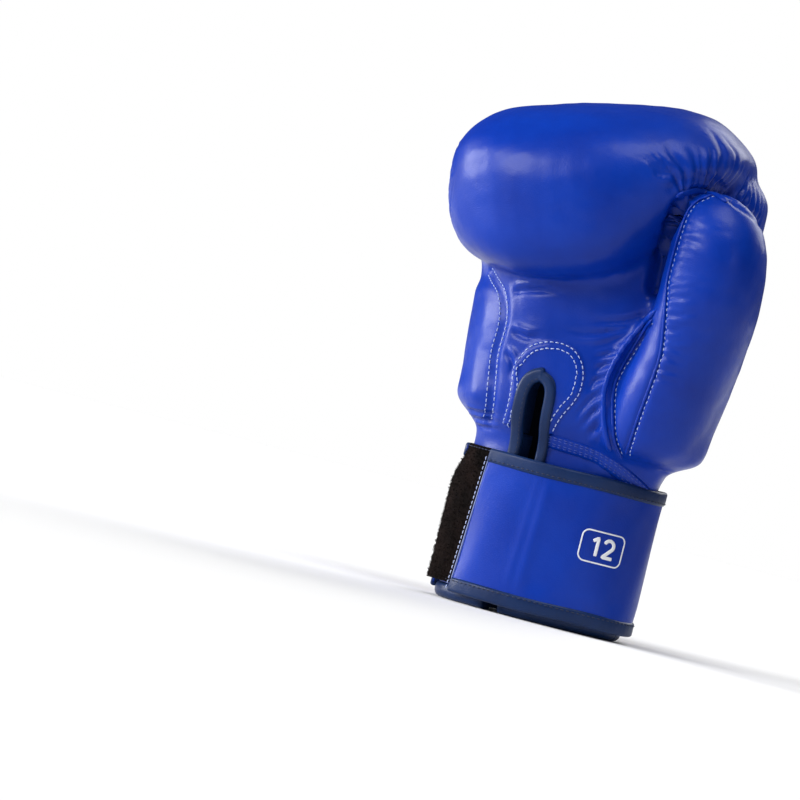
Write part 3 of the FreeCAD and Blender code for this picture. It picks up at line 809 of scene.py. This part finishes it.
def vary_roughness(tree, shader, source, low, high):
    """Spreads the roughness between two values by a texture."""
    spread = tree.nodes.new("ShaderNodeMapRange")
    spread.inputs["To Min"].default_value = low
    spread.inputs["To Max"].default_value = high
    tree.links.new(source, spread.inputs["Value"])
    tree.links.new(spread.outputs["Result"], shader.inputs["Roughness"])


def leather(name, slot, dark, light, roughness, coat, grain=0.35):
    """Smooth-grained leather: two close colours in soft patches, and a fine pebbled grain."""
    material, shader = new_material(
        name, slot, Coat_Weight=coat, Coat_Roughness=0.2, Specular_IOR_Level=0.16
    )
    tree = material.node_tree
    patches = texture(tree, "ShaderNodeTexNoise", 28, Detail=4)
    two_tones(tree, shader, patches.outputs["Fac"], dark, light)
    cells = texture(tree, "ShaderNodeTexVoronoi", 900, feature="DISTANCE_TO_EDGE")
    fine = texture(tree, "ShaderNodeTexNoise", 420, Detail=5)
    relief(tree, shader, [cells.outputs["Distance"], fine.outputs["Fac"]], 0.00022, grain)
    vary_roughness(tree, shader, fine.outputs["Fac"], roughness - 0.06, roughness + 0.08)
    return material


def cloth(name, slot, dark, light, thread_scale, roughness=0.9):
    """Woven cloth: crossing threads and a soft sheen."""
    material, shader = new_material(name, slot, Sheen_Weight=0.02, Specular_IOR_Level=0.05)
    tree = material.node_tree
    patches = texture(tree, "ShaderNodeTexNoise", 60, Detail=5)
    two_tones(tree, shader, patches.outputs["Fac"], dark, light)
    weave = [
        texture(tree, "ShaderNodeTexWave", thread_scale, bands_direction=direction, Distortion=0.6)
        for direction in ("X", "Z", "Y")
    ]
    relief(tree, shader, [w.outputs["Fac"] for w in weave], 0.0002, 0.6)
    shader.inputs["Roughness"].default_value = roughness
    return material


def printed(name, slot, dark, light, roughness):
    """Printed film or thread with faint mottling."""
    material, shader = new_material(name, slot)
    tree = material.node_tree
    patches = texture(tree, "ShaderNodeTexNoise", 45, Detail=6)
    two_tones(tree, shader, patches.outputs["Fac"], dark, light)
    fine = texture(tree, "ShaderNodeTexNoise", 900, Detail=3)
    relief(tree, shader, [fine.outputs["Fac"]], 0.0001, 0.3)
    vary_roughness(tree, shader, fine.outputs["Fac"], roughness - 0.08, roughness + 0.1)
    return material


def grained_wood():
    """Pale wood with long grain along X."""
    material, shader = new_material("bar_wood", "bar")
    tree = material.node_tree
    grain = texture(tree, "ShaderNodeTexWave", 60, bands_direction="Z", Distortion=4.0, Detail=3.0)
    two_tones(tree, shader, grain.outputs["Fac"], (0.35, 0.22, 0.11), (0.58, 0.42, 0.25))
    relief(tree, shader, [grain.outputs["Fac"]], 0.0002, 0.3)
    shader.inputs["Roughness"].default_value = 0.6
    return material


BLUE = leather("blue_leather", "blue_leather", (0.0006, 0.023, 0.27), (0.0010, 0.034, 0.35), 0.36, 0.09)
STRAP_BLUE = leather(
    "strap_leather", "blue_leather", (0.0008, 0.025, 0.29), (0.0016, 0.037, 0.37), 0.33, 0.1
)
NAVY = leather(
    "navy_leather", "navy_binding", (0.004, 0.016, 0.065), (0.009, 0.029, 0.105), 0.38, 0.08, 0.45
)
BLUE_THREAD = printed("blue_thread", "blue_leather", (0.02, 0.05, 0.30), (0.06, 0.10, 0.45), 0.55)
THREAD = printed("pale_thread", "blue_palm_leather", (0.30, 0.38, 0.68), (0.55, 0.62, 0.85), 0.6)
DARK_THREAD = printed("navy_thread", "navy_binding", (0.006, 0.012, 0.04), (0.015, 0.025, 0.07), 0.6)
LINING = cloth("lining_cloth", "lining", (0.006, 0.008, 0.02), (0.014, 0.018, 0.04), 900)
LOOPS = cloth("loop_pile", "loop_pile", (0.002, 0.0012, 0.0012), (0.013, 0.007, 0.006), 700, 1.0)
HOOKS = cloth("hook_tape", "hook_tape", (0.006, 0.006, 0.008), (0.02, 0.02, 0.024), 1200, 0.6)
LABEL_GREY = printed("label_grey", "label_field", (0.58, 0.58, 0.58), (0.72, 0.72, 0.72), 0.4)
LABEL_RED = printed("label_red", "label_border", (0.55, 0.012, 0.02), (0.70, 0.02, 0.03), 0.4)
PRINT_WHITE = printed("white_print", "label_field", (0.72, 0.74, 0.78), (0.9, 0.91, 0.93), 0.45)
WOOD = grained_wood()
CUT_EDGE = printed("cut_leather_edge", "blue_palm_leather", (0.10, 0.14, 0.34), (0.22, 0.27, 0.5), 0.8)


# ------------------------------------------------------------------------ stage

# Broad far-off lights: name, the direction each comes from, its angular width in degrees, its strength
# and whether it casts shadows.
LIGHTS = (
    ("key", (-0.8, -0.85, 0.5), 24, 2.0, True),
    ("left", (-1.0, -0.12, 0.14), 32, 3.6, True),
    ("overhead", (0.1, -0.35, 1.0), 34, 1.5, True),
    ("side", (1.0, -0.9, 0.35), 20, 0.15, False),
    ("rear", (0.3, 1.0, 0.7), 40, 1.3, True),
)
CAMERA_DISTANCE = 3.0
CAMERA_ROLL = 14.4
AIM_RIGHT, AIM_UP = -0.092, 0.0945
FRAME_WIDTH = 0.4195
SENSOR = 36
FLOOR_RADIUS, FLOOR_Z, FLOOR_SIDES = 4000, -0.2, 64


def stage():
    """Pale floor, soft studio lights and the camera, turned about its own axis."""
    floor_material, _ = new_material("pale_floor", Base_Color=(0.9, 0.9, 0.9, 1), Roughness=0.9)
    angles = np.linspace(0, 2 * math.pi, FLOOR_SIDES, endpoint=False)
    ring = np.stack(
        [FLOOR_RADIUS * np.cos(angles), FLOOR_RADIUS * np.sin(angles), np.full(FLOOR_SIDES, FLOOR_Z)], axis=1
    )
    floor = make_mesh("floor", ring, [range(FLOOR_SIDES)], floor_material, smooth=False)

    world = bpy.data.worlds.new("studio")
    bpy.context.scene.world = world
    world.use_nodes = True
    tree = world.node_tree
    path = tree.nodes.new("ShaderNodeLightPath")
    level = tree.nodes.new("ShaderNodeMapRange")
    level.inputs["To Min"].default_value = 0.05
    level.inputs["To Max"].default_value = 1.0
    tree.nodes["Background"].inputs["Color"].default_value = (1, 1, 1, 1)
    tree.links.new(path.outputs["Is Camera Ray"], level.inputs["Value"])
    tree.links.new(level.outputs["Result"], tree.nodes["Background"].inputs["Strength"])
    bpy.context.scene.view_settings.view_transform = "Standard"

    for name, place, width, power, shadows in LIGHTS:
        data = bpy.data.lights.new(name, "SUN")
        data.angle = math.radians(width)
        data.energy = power
        data.use_shadow = shadows
        light = bpy.data.objects.new(name, data)
        light.rotation_euler = Vector(place).to_track_quat("Z", "Y").to_euler()
        bpy.context.scene.collection.objects.link(light)

    azimuth = math.radians(VIEW_AZIMUTH)
    roll = math.radians(CAMERA_ROLL)
    right = Vector((math.cos(azimuth), math.sin(azimuth), 0))
    away = Vector((-math.sin(azimuth), math.cos(azimuth), 0))
    up = Vector((0, 0, 1))
    view_up = up * math.cos(roll) - right * math.sin(roll)
    view_right = right * math.cos(roll) + up * math.sin(roll)
    camera_data = bpy.data.cameras.new("camera")
    camera_data.sensor_width = SENSOR
    camera_data.lens = SENSOR * CAMERA_DISTANCE / FRAME_WIDTH
    camera_data.clip_end = 50
    camera = bpy.data.objects.new("camera", camera_data)
    target = right * AIM_RIGHT + up * AIM_UP
    turned = Matrix((view_right, view_up, -away)).transposed().to_4x4()
    camera.matrix_world = Matrix.Translation(target - away * CAMERA_DISTANCE) @ turned
    bpy.context.scene.collection.objects.link(camera)
    bpy.context.scene.camera = camera


# ---------------------------------------------------------------- leather and seams


def points_of(obj):
    """A mesh object's points in millimetres."""
    flat = np.empty(len(obj.data.vertices) * 3)
    obj.data.vertices.foreach_get("co", flat)
    return flat.reshape(-1, 3) / MM


def flex(obj):
    """Bakes a piece's placement into its mesh and works out how far its points lie from the mitt and the
    thumb; these values are not used.
    """
    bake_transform(obj)
    points = points_of(obj)
    level = level_of(points)
    away = oval_distance(points, level, BODY_ROWS)
    fist = oval_distance(points, level, FIST_ROWS)
    away = np.where(level > 180, np.minimum(away, fist), away)
    near_thumb = smoothstep(-oval_distance(points, points[:, 2], THUMB_ROWS), -14, -5)


def swing_flap(obj):
    """Bakes a piece's placement into its mesh and reads its points, which are not used."""
    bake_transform(obj)
    points = points_of(obj)


def skin(surface):
    """The leather, parted at the slit and between the mitt and the two flaps of the cuff."""
    centres = surface.points[surface.quads].mean(axis=1)
    x, y, z = centres.T
    slit_reach = np.hypot(x - SLIT_X, np.maximum(z - SLIT_TOP, 0))
    keep = ~((y < -15) & (slit_reach < SLIT_HALF + 1.8)) & (z > 5)
    flap = (y < HINGE_Y) & (z < NECK_Z)
    pieces = {
        "leather_shell": keep & ~flap,
        "ulnar_flap_leather": keep & flap & (x < SLIT_X),
        "thumb_flap_leather": keep & flap & (x > SLIT_X),
    }
    made = {}
    for name, chosen in pieces.items():
        used, faces = np.unique(surface.quads[chosen], return_inverse=True)
        obj = make_mesh(name, surface.points[used], faces.reshape(-1, 4), BLUE)
        obj.data.normals_split_custom_set_from_vertices(surface.normals[used].tolist())
        made[name] = obj
    flex(made["leather_shell"])
    swing_flap(made["ulnar_flap_leather"])
    swing_flap(made["thumb_flap_leather"])
    return made


def seams(surface):
    """Rows of stitches, piping and welts on the leather."""
    lines = {
        "edge": surface.trace(EDGE_SEAM),
        "patch": surface.trace(PATCH_OUTER),
        "welt_outer": surface.trace(WELT_OUTER),
        "welt_inner": surface.trace(WELT_INNER),
        "ridge": surface.trace(THUMB_RIDGE),
    }
    rows = []
    for number, (name, offset) in enumerate(
        (("edge", 2.6), ("edge", -2.4), ("patch", 0.9), ("patch", 4.4))
    ):
        path, normals = lines[name]
        moved = beside(path, normals, offset)
        moved, normals = surface.settle(moved)
        rows.append(stitch_row(moved, normals, length=2.1, gap=0.8, seed=number))
    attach(make("palm_stitches", rows, THREAD), "mitt")

    beads = []
    for name, radius in (("welt_outer", 1.5), ("welt_inner", 0.9)):
        path, normals = lines[name]
        beads.append(sweep(path, normals, round_profile(radius, 0.3)))
    flex(make("thumb_base_welts", beads, STRAP_BLUE))

    path, normals = lines["ridge"]
    bead = [sweep(path + normals * 0.1, normals, round_profile(0.75, 0.2))]
    flex(make("thumb_piping", bead, STRAP_BLUE))

    path, normals = surface.trace(THUMB_TIE)
    path, normals = soften(path, passes=60), soften(normals, passes=60)
    strip = sweep(path + normals * 0.6, normals, pillow_profile(3.4, 1.3, sink=0.8))
    tie = make("thumb_tie_strip", [strip], BLUE)
    flex(tie)
    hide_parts("thumb_tie")

    rows = []
    for number, (name, offset) in enumerate((("welt_inner", -3.0), ("ridge", -2.6))):
        path, normals = lines[name]
        moved, normals = surface.settle(beside(path, normals, offset))
        rows.append(stitch_row(moved, normals, 1.8, 1.2, 0.2, lift=0.05, seed=20 + number))
    flex(make("thumb_stitches", rows, THREAD))


def soften(values, passes):
    """A row of points or directions with its bends evened out, and its ends kept."""
    out = values.copy()
    for _ in range(passes):
        out[1:-1] = (out[:-2] + 2 * out[1:-1] + out[2:]) / 4
    return out


def slit_roll(surface):
    """The navy binding rolled over both edges of the slit, with its stitches."""
    for side, body, width in ((-1, "ulnar_flap", 7.4), (1, "thumb_flap", 6.0)):
        path, normals = surface.trace(slit_half(width / 2 - 0.6, side), azimuth=0)
        path, normals = soften(path, passes=40), soften(normals, passes=40)
        path = path + normals * 0.3
        band = sweep(path, normals, pillow_profile(width, 1.9, sink=2.6), ends=1)
        swing_flap(make(f"{body}_slit_roll", [band], NAVY))
        inner = beside(path, normals, side * -(width / 2 - 1.6)) + normals * 1.5
        row = stitch_row(inner, normals, 1.7, 0.9, 0.2, seed=5)
        swing_flap(make(f"{body}_slit_stitches", [row], DARK_THREAD))


def heel_band(surface):
    """The folded band of leather across the heel of the palm, with its rows of stitches."""
    path, normals = surface.trace(HEEL_TOP)
    path = path - np.array([0, 0, 4.5])
    path, normals = surface.settle(path)
    band = [sweep(path, normals, pillow_profile(9.5, 1.3, sink=0.8), ends=2)]
    swing_flap(make("heel_band", band, STRAP_BLUE))
    rows = []
    for number, offset in enumerate((-3.3, -1.9, 0.4, 1.8)):
        moved = beside(path, normals, offset) + normals * 1.2
        rows.append(stitch_row(moved, normals, 1.9, 1.0, 0.22, seed=40 + number))
    swing_flap(make("heel_stitches", rows, BLUE_THREAD))


# ------------------------------------------------------------- cuff, strap and label

CUFF_X, CUFF_Y = 49.8, 33.8
SLIT_BAND = 4.4
STRAP_LOW, STRAP_HIGH = 4.5, 81.5
STRAP_INNER, STRAP_SEAM, STRAP_OUTER = 4.0, 4.9, 6.2
WALL_IN, WALL_OUT = -9.5, 1.3


def oval(turn, offset, z):
    """Points of the cuff's oval, grown by an offset: turn 0 is the thumb side, 90 degrees the back."""
    turn, offset, z = np.broadcast_arrays(np.radians(turn), offset, z)
    return np.stack([(CUFF_X + offset) * np.cos(turn), (CUFF_Y + offset) * np.sin(turn), z], axis=-1)


def turn_at(x, offset, front=True):
    """The turn, in degrees, at which the grown oval passes x, on the palm side or the back."""
    turn = math.degrees(math.acos(max(-1, min(1, x / (CUFF_X + offset)))))
    return -turn if front else turn


def rounded_loop(low_offset, high_offset, low_z, high_z, radius, steps):
    """A closed loop of (offset, z): a box with rounded corners."""
    loop = []
    corners = (
        (high_offset - radius, low_z + radius, -90), (high_offset - radius, high_z - radius, 0),
        (low_offset + radius, high_z - radius, 90), (low_offset + radius, low_z + radius, 180),
    )
    for offset, z, start in corners:
        for angle in np.radians(np.linspace(start, start + 90, steps + 1)):
            loop.append((offset + radius * math.cos(angle), z + radius * math.sin(angle)))
    return loop


def wrap(loop, start, end, shape=None, step=1.2):
    """A closed solid: a loop of (offset, z) taken round the cuff from one turn to another.

    start and end may be functions of z, and shape moves the points by (turn, offset, z).
    """
    offset, z = np.asarray(loop, float).T
    first = np.array([start(level) if callable(start) else start for level in z])
    last = np.array([end(level) if callable(end) else end for level in z])
    count = max(int(np.abs(last - first).max() * math.pi / 180 * CUFF_X / step), 2)
    share = np.linspace(0, 1, count)[:, None]
    turn = first * (1 - share) + last * share
    offset = np.broadcast_to(offset, turn.shape)
    z = np.broadcast_to(z, turn.shape)
    if shape:
        offset, z = shape(turn, offset, z)
    return tube(oval(turn, offset, z)[:, ::-1])


def outward_at(turns):
    """Unit vectors out of the cuff's oval at some turns."""
    outward = np.stack([np.cos(np.radians(turns)) / CUFF_X, np.sin(np.radians(turns)) / CUFF_Y,
                        np.zeros(len(turns))], axis=1)
    return outward / np.linalg.norm(outward, axis=1, keepdims=True)


def oval_row(z, start, end, offset):
    """A level path round the cuff, and its outward normals."""
    count = max(int(abs(end - start) * math.pi / 180 * CUFF_X / 0.8), 4)
    turn = np.linspace(start, end, count)
    return oval(turn, offset, z), outward_at(turn)


def free_edge(z):
    """The turn of the strap's free edge at a height: it slants a little."""
    return turn_at(-30.3 - (STRAP_HIGH - z) * 0.06, STRAP_SEAM)


SEWN_EDGE = math.degrees(math.pi - math.asin(4.8 / (CUFF_Y + STRAP_SEAM)))


def bend_strap(obj):
    """Bakes a piece's placement into its mesh and reads its points, which are not used."""
    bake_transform(obj)
    points = points_of(obj)


def strap_relief(turn, offset, z):
    """Soft ridges in the strap over the edge of the hook pad, and slight waves elsewhere."""
    across = (CUFF_X + offset) * np.cos(np.radians(turn))
    front = smoothstep(-turn, 20, 50)
    ridge = np.exp(-(((across - 4.0 - (z - 43) * 0.03) / 3.0) ** 2)) * 0.7
    ridge = ridge + np.exp(-(((across + 2.0 - (z - 43) * 0.05) / 2.2) ** 2)) * 0.35
    wave = 0.25 * np.sin(turn / 9 + z / 26) + 0.15 * np.sin(turn / 4.1 - z / 15)
    middle = smoothstep(z, STRAP_LOW + 6, STRAP_LOW + 16) * smoothstep(-z, -STRAP_HIGH + 6, -STRAP_HIGH + 16)
    outward = offset > STRAP_SEAM + 0.4
    return offset + outward * middle * (ridge * front + wave), z


def puckered(turn, offset, z):
    """A bound edge that puckers slightly where its stitches pull it in."""
    outward = offset > (STRAP_SEAM + STRAP_OUTER) / 2
    places = np.stack([np.radians(turn) * CUFF_X, z * 0.3, offset * 0], axis=-1).reshape(-1, 3)
    pull = 0.06 * lumps(places, 2.6, 9).reshape(turn.shape) + 0.15 * np.sin(turn / 9)
    return offset + outward * pull, z + 0.25 * np.sin(turn / 11)


def dense_loop(low_offset, high_offset, low_z, high_z, step=3.0):
    """A box loop of (offset, z) with points all along its tall sides."""
    levels = np.linspace(low_z, high_z, int((high_z - low_z) / step) + 1)
    out = [(high_offset, z) for z in levels]
    back = [(low_offset, z) for z in levels[::-1]]
    return out + back


def strap():
    """The strap: leather, lining, bound edges, stitches and the cut edge at its free end."""
    slab = wrap(dense_loop(STRAP_SEAM, STRAP_OUTER, STRAP_LOW + 1, STRAP_HIGH - 1), free_edge, SEWN_EDGE,
                strap_relief)
    body = make("strap_leather", [slab], STRAP_BLUE)
    bend_strap(body)
    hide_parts("strap_front_leather", "strap_back_leather")
    inside_loop = dense_loop(STRAP_INNER, STRAP_SEAM - 0.05, STRAP_LOW + 1, STRAP_HIGH - 1)
    lining = make("strap_lining", [wrap(inside_loop, free_edge, SEWN_EDGE)], LINING)
    bend_strap(lining)
    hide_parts("strap_front_lining", "strap_back_lining")

    bindings = []
    threads = []
    for low, high, row in (
        (STRAP_HIGH - 7.2, STRAP_HIGH + 0.4, STRAP_HIGH - 5.6),
        (STRAP_LOW - 0.4, STRAP_LOW + 7.4, STRAP_LOW + 5.8),
    ):
        loop = rounded_loop(STRAP_INNER - 0.6, STRAP_OUTER + 0.9, low, high, 1.5, 5)
        bindings.append(wrap(loop, free_edge, SEWN_EDGE, puckered, step=0.8))
        path, normals = oval_row(row, free_edge(row) + 1.5, SEWN_EDGE - 1.5, STRAP_OUTER + 1.0)
        threads.append(stitch_row(path, normals, 1.8, 1.1, 0.24, seed=int(row)))
    bound = make("strap_bindings", bindings, NAVY)
    bend_strap(bound)
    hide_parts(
        "strap_front_top_binding", "strap_front_bottom_binding", "strap_back_top_binding",
        "strap_back_bottom_binding",
    )
    bend_strap(make("strap_binding_stitches", threads, DARK_THREAD))

    levels = np.linspace(STRAP_LOW + 0.8, STRAP_HIGH - 0.8, 60)
    edge = np.array([oval(free_edge(z), STRAP_OUTER + 0.2, z) for z in levels])
    turns = np.array([free_edge(z) for z in levels])
    outward = outward_at(turns)
    trim = [sweep(edge - outward * 0.9, outward, pillow_profile(0.9, 1.1, sink=1.5), ends=1)]
    bend_strap(make("strap_cut_edge", trim, CUT_EDGE))
    row = stitch_row(beside(edge, outward, -1.7), outward, 2.0, 0.7, 0.26, seed=77)
    bend_strap(make("strap_edge_stitches", [row], THREAD))


def number_mark():
    """The size number, printed on the thumb side of the strap's front in a plain rounded frame."""
    half_width, half_height, corner = 12.0, 8.2, 3.4
    centre_x, centre_z = 39.0, 46.0
    frame_line = []
    corners = ((1, 1, 0), (-1, 1, 90), (-1, -1, 180), (1, -1, 270))
    for sx, sz, start in corners:
        for angle in np.radians(np.linspace(start, start + 90, 7)):
            frame_line.append((
                sx * (half_width - corner) + corner * math.cos(angle),
                sz * (half_height - corner) + corner * math.sin(angle),
            ))
    frame_line.append(frame_line[0])
    one = [(-6.0, 2.9), (-3.4, 4.7), (-3.4, -4.7)]
    bends = np.radians(np.linspace(165, -35, 12))
    bowl = [(3.2 + 2.7 * math.cos(a), 2.0 + 2.7 * math.sin(a)) for a in bends]
    two = bowl + [(0.6, -4.4), (6.3, -4.4)]
    middle = turn_at(centre_x, STRAP_OUTER)
    arc = math.hypot(
        (CUFF_X + STRAP_OUTER) * math.sin(math.radians(middle)),
        (CUFF_Y + STRAP_OUTER) * math.cos(math.radians(middle)),
    )
    parts = []
    for line, thick in ((frame_line, 0.8), (one, 1.9), (two, 1.9)):
        marks = even(np.array(line), max(int(length_of(np.array(line)) / 0.5), 4))
        turns = middle + np.degrees(marks[:, 0] / arc)
        offset, _ = strap_relief(turns, np.full(len(turns), STRAP_OUTER), centre_z + marks[:, 1])
        path = oval(turns, offset, centre_z + marks[:, 1])
        outward = outward_at(turns)
        parts.append(sweep(path, outward, pillow_profile(thick, 0.28, sink=0.3), ends=1))
    bend_strap(make("size_number", parts, PRINT_WHITE))


PILE_COUNT = 2600


def hook_and_loop():
    """The fuzzy loop pad on the flap, with its pile and stitches."""
    rng = np.random.default_rng(8)
    low, high = 8.6, 82.0
    start, end = turn_at(-21.0, 1.6), -180 + math.degrees(math.asin(5.6 / (CUFF_Y + 1.6)))
    loop = dense_loop(0.0, 1.5, low, high, step=0.9)

    def fuzz(turn, offset, z):
        places = np.stack([turn.ravel() * 0.9, z.ravel(), np.zeros(turn.size)], axis=1)
        rough = (lumps(places, 1.6, 3) + 0.7 * lumps(places, 0.9, 4)).reshape(turn.shape)
        bulge = 5.0 * smoothstep(-turn, 132, 166) * smoothstep(-z, -84, -60)
        return offset + (offset > 1) * (0.16 * rough + bulge), z

    parts = [wrap(loop, start, end, fuzz, step=0.9)]
    for _ in range(PILE_COUNT):
        turn = rng.uniform(end + 1, start - 1)
        z = rng.uniform(low + 0.5, high - 0.5)
        reach, lean, rise = rng.uniform(0.3, 0.9), rng.uniform(-2.2, 2.2), rng.uniform(-1.0, 1.0)
        high_offset, _ = fuzz(np.array([turn]), np.array([1.5]), np.array([z]))
        root = oval(turn, high_offset[0] - 0.2, z)
        middle = oval(turn + lean * 0.5, high_offset[0] + reach, z + rise * 0.5)
        tip = oval(turn + lean, high_offset[0], z + rise)
        line = np.stack([root, middle, tip])
        thick = np.array([[0.09, 0, 0], [0, 0, 0.09], [-0.07, 0, -0.05]])
        rings = line[:, None] + thick[None]
        parts.append(tube(rings))
    pad = make("loop_pile_pad", parts, LOOPS)
    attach(pad, "ulnar_flap")
    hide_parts("loop_pad")
    edges = []
    for z in (low + 1.4, high - 1.4):
        path, normals = oval_row(z, start - 1, end + 1, 2.0)
        edges.append(stitch_row(path, normals, 2.0, 0.9, 0.26, seed=int(z)))
    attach(make("loop_pad_stitches", edges, DARK_THREAD), "ulnar_flap")


def rims():
    """Fat rolled bindings under the cuff and up both edges of its slit."""
    loop = rounded_loop(WALL_IN, WALL_OUT, 0.0, 8.6, 3.6, 5)

    def wavy(turn, offset, z):
        return offset + (offset > 0) * 0.2 * np.sin(turn / 5), z

    hinge = math.degrees(math.asin(-HINGE_Y / CUFF_Y))
    back = make("cuff_rim_roll", [wrap(loop, -hinge + 0.8, 180 + hinge - 0.8, wavy)], NAVY)
    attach(back, "mitt")
    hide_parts("cuff_rim_binding")
    slit_turns = [turn_at(SLIT_X - SLIT_HALF, 0), turn_at(SLIT_X + SLIT_HALF, 0)]
    for name, body, start, end, edge in (
        ("ulnar_rim_roll", "ulnar_flap", -180 + hinge, slit_turns[0], -1),
        ("thumb_rim_roll", "thumb_flap", slit_turns[1], -hinge, 1),
    ):
        roll = wrap(loop, start, end, wavy)
        width = edge * SLIT_BAND
        near_x = SLIT_X + edge * SLIT_HALF
        plan = []
        for along, offset in rounded_loop(0.0, 1.0, 0.0, 1.0, 0.2, 4):
            plan.append((near_x + width * along, WALL_IN + (WALL_OUT - WALL_IN) * offset))
        levels = np.linspace(2.0, FLAP_TOP, 30)
        rings = []
        for z in levels:
            ring = [oval(turn_at(x, 0), offset, z) for x, offset in plan]
            rings.append(ring if edge > 0 else ring[::-1])
        upright = tube(np.array(rings))
        obj = make(name, [roll, upright], NAVY)
        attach(obj, body)
        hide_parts(f"{body}_binding")


def label():
    """Plain printed label on the back of the strap: a white outline, a red frame and a grey field."""
    low, high, left, right = 11.5, 74.5, -47.0, 38.5
    over = STRAP_OUTER + 0.5
    parts = []
    start, end = turn_at(right, over, front=False), turn_at(left, over, front=False)
    for z in (low - 0.9, high + 0.1):
        parts.append(wrap(rounded_loop(over - 1.4, over + 0.15, z, z + 0.8, 0.3, 2), start - 1, end + 1))
    for turn in (start - 1, end):
        parts.append(
            wrap(rounded_loop(over - 1.4, over + 0.15, low - 0.9, high + 0.9, 0.3, 2), turn, turn + 1)
        )
    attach(make("label_outline", parts, PRINT_WHITE), "mitt")
    rows = []
    for z in (low + 1.0, high - 1.0):
        path, normals = oval_row(z, start + 1, end - 1, over + 0.1)
        rows.append(stitch_row(path, normals, 2.2, 1.0, 0.2, seed=int(z)))
    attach(make("label_stitches", rows, LABEL_RED), "mitt")


def dress_nodes():
    """Detailed materials on the CAD nodes that stay in sight."""
    finishes = {
        "cuff_lining": LINING, "ulnar_flap_lining": LINING, "thumb_flap_lining": LINING,
        "hand_lining": LINING, "thumb_passage_lining": LINING, "thumb_lining": LINING,
        "grip_sleeve": LINING, "grip_bar": WOOD, "hook_pad": HOOKS, "slit_binding": NAVY,
        "label_field": LABEL_GREY, "label_border": LABEL_RED,
    }
    for node, material in finishes.items():
        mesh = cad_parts[node].data
        for index in range(max(len(mesh.materials), 1)):
            if len(mesh.materials) <= index:
                mesh.materials.append(material)
            mesh.materials[index] = material


# ------------------------------------------------------------------------- build

STEP = 2.5
# CAD nodes that each piece of leather stands for.
HIDDEN = {
    "leather_shell": (
        "back_panel", "palm_panel", "edge_pad_cover", "edge_pad_foam", "palm_pad", "impact_back_foam",
        "impact_roll_foam", "core_back_foam", "core_roll_foam", "thumb_side_foam", "slit_patch",
        "cuff_cover", "cuff_foam", "strap_pad", "thumb_outer_panel", "thumb_inner_panel",
        "thumb_front_foam", "thumb_back_foam", "thumb_welt",
    ),
    "ulnar_flap_leather": ("ulnar_flap_cover", "ulnar_flap_foam"),
    "thumb_flap_leather": ("thumb_flap_cover", "thumb_flap_foam"),
}

stage()
surface = Surface(*leather_surface(STEP))
mark_leather(surface)
for name, obj in skin(surface).items():
    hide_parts(*HIDDEN[name])
seams(surface)
slit_roll(surface)
heel_band(surface)
strap()
number_mark()
hook_and_loop()
rims()
label()
dress_nodes()
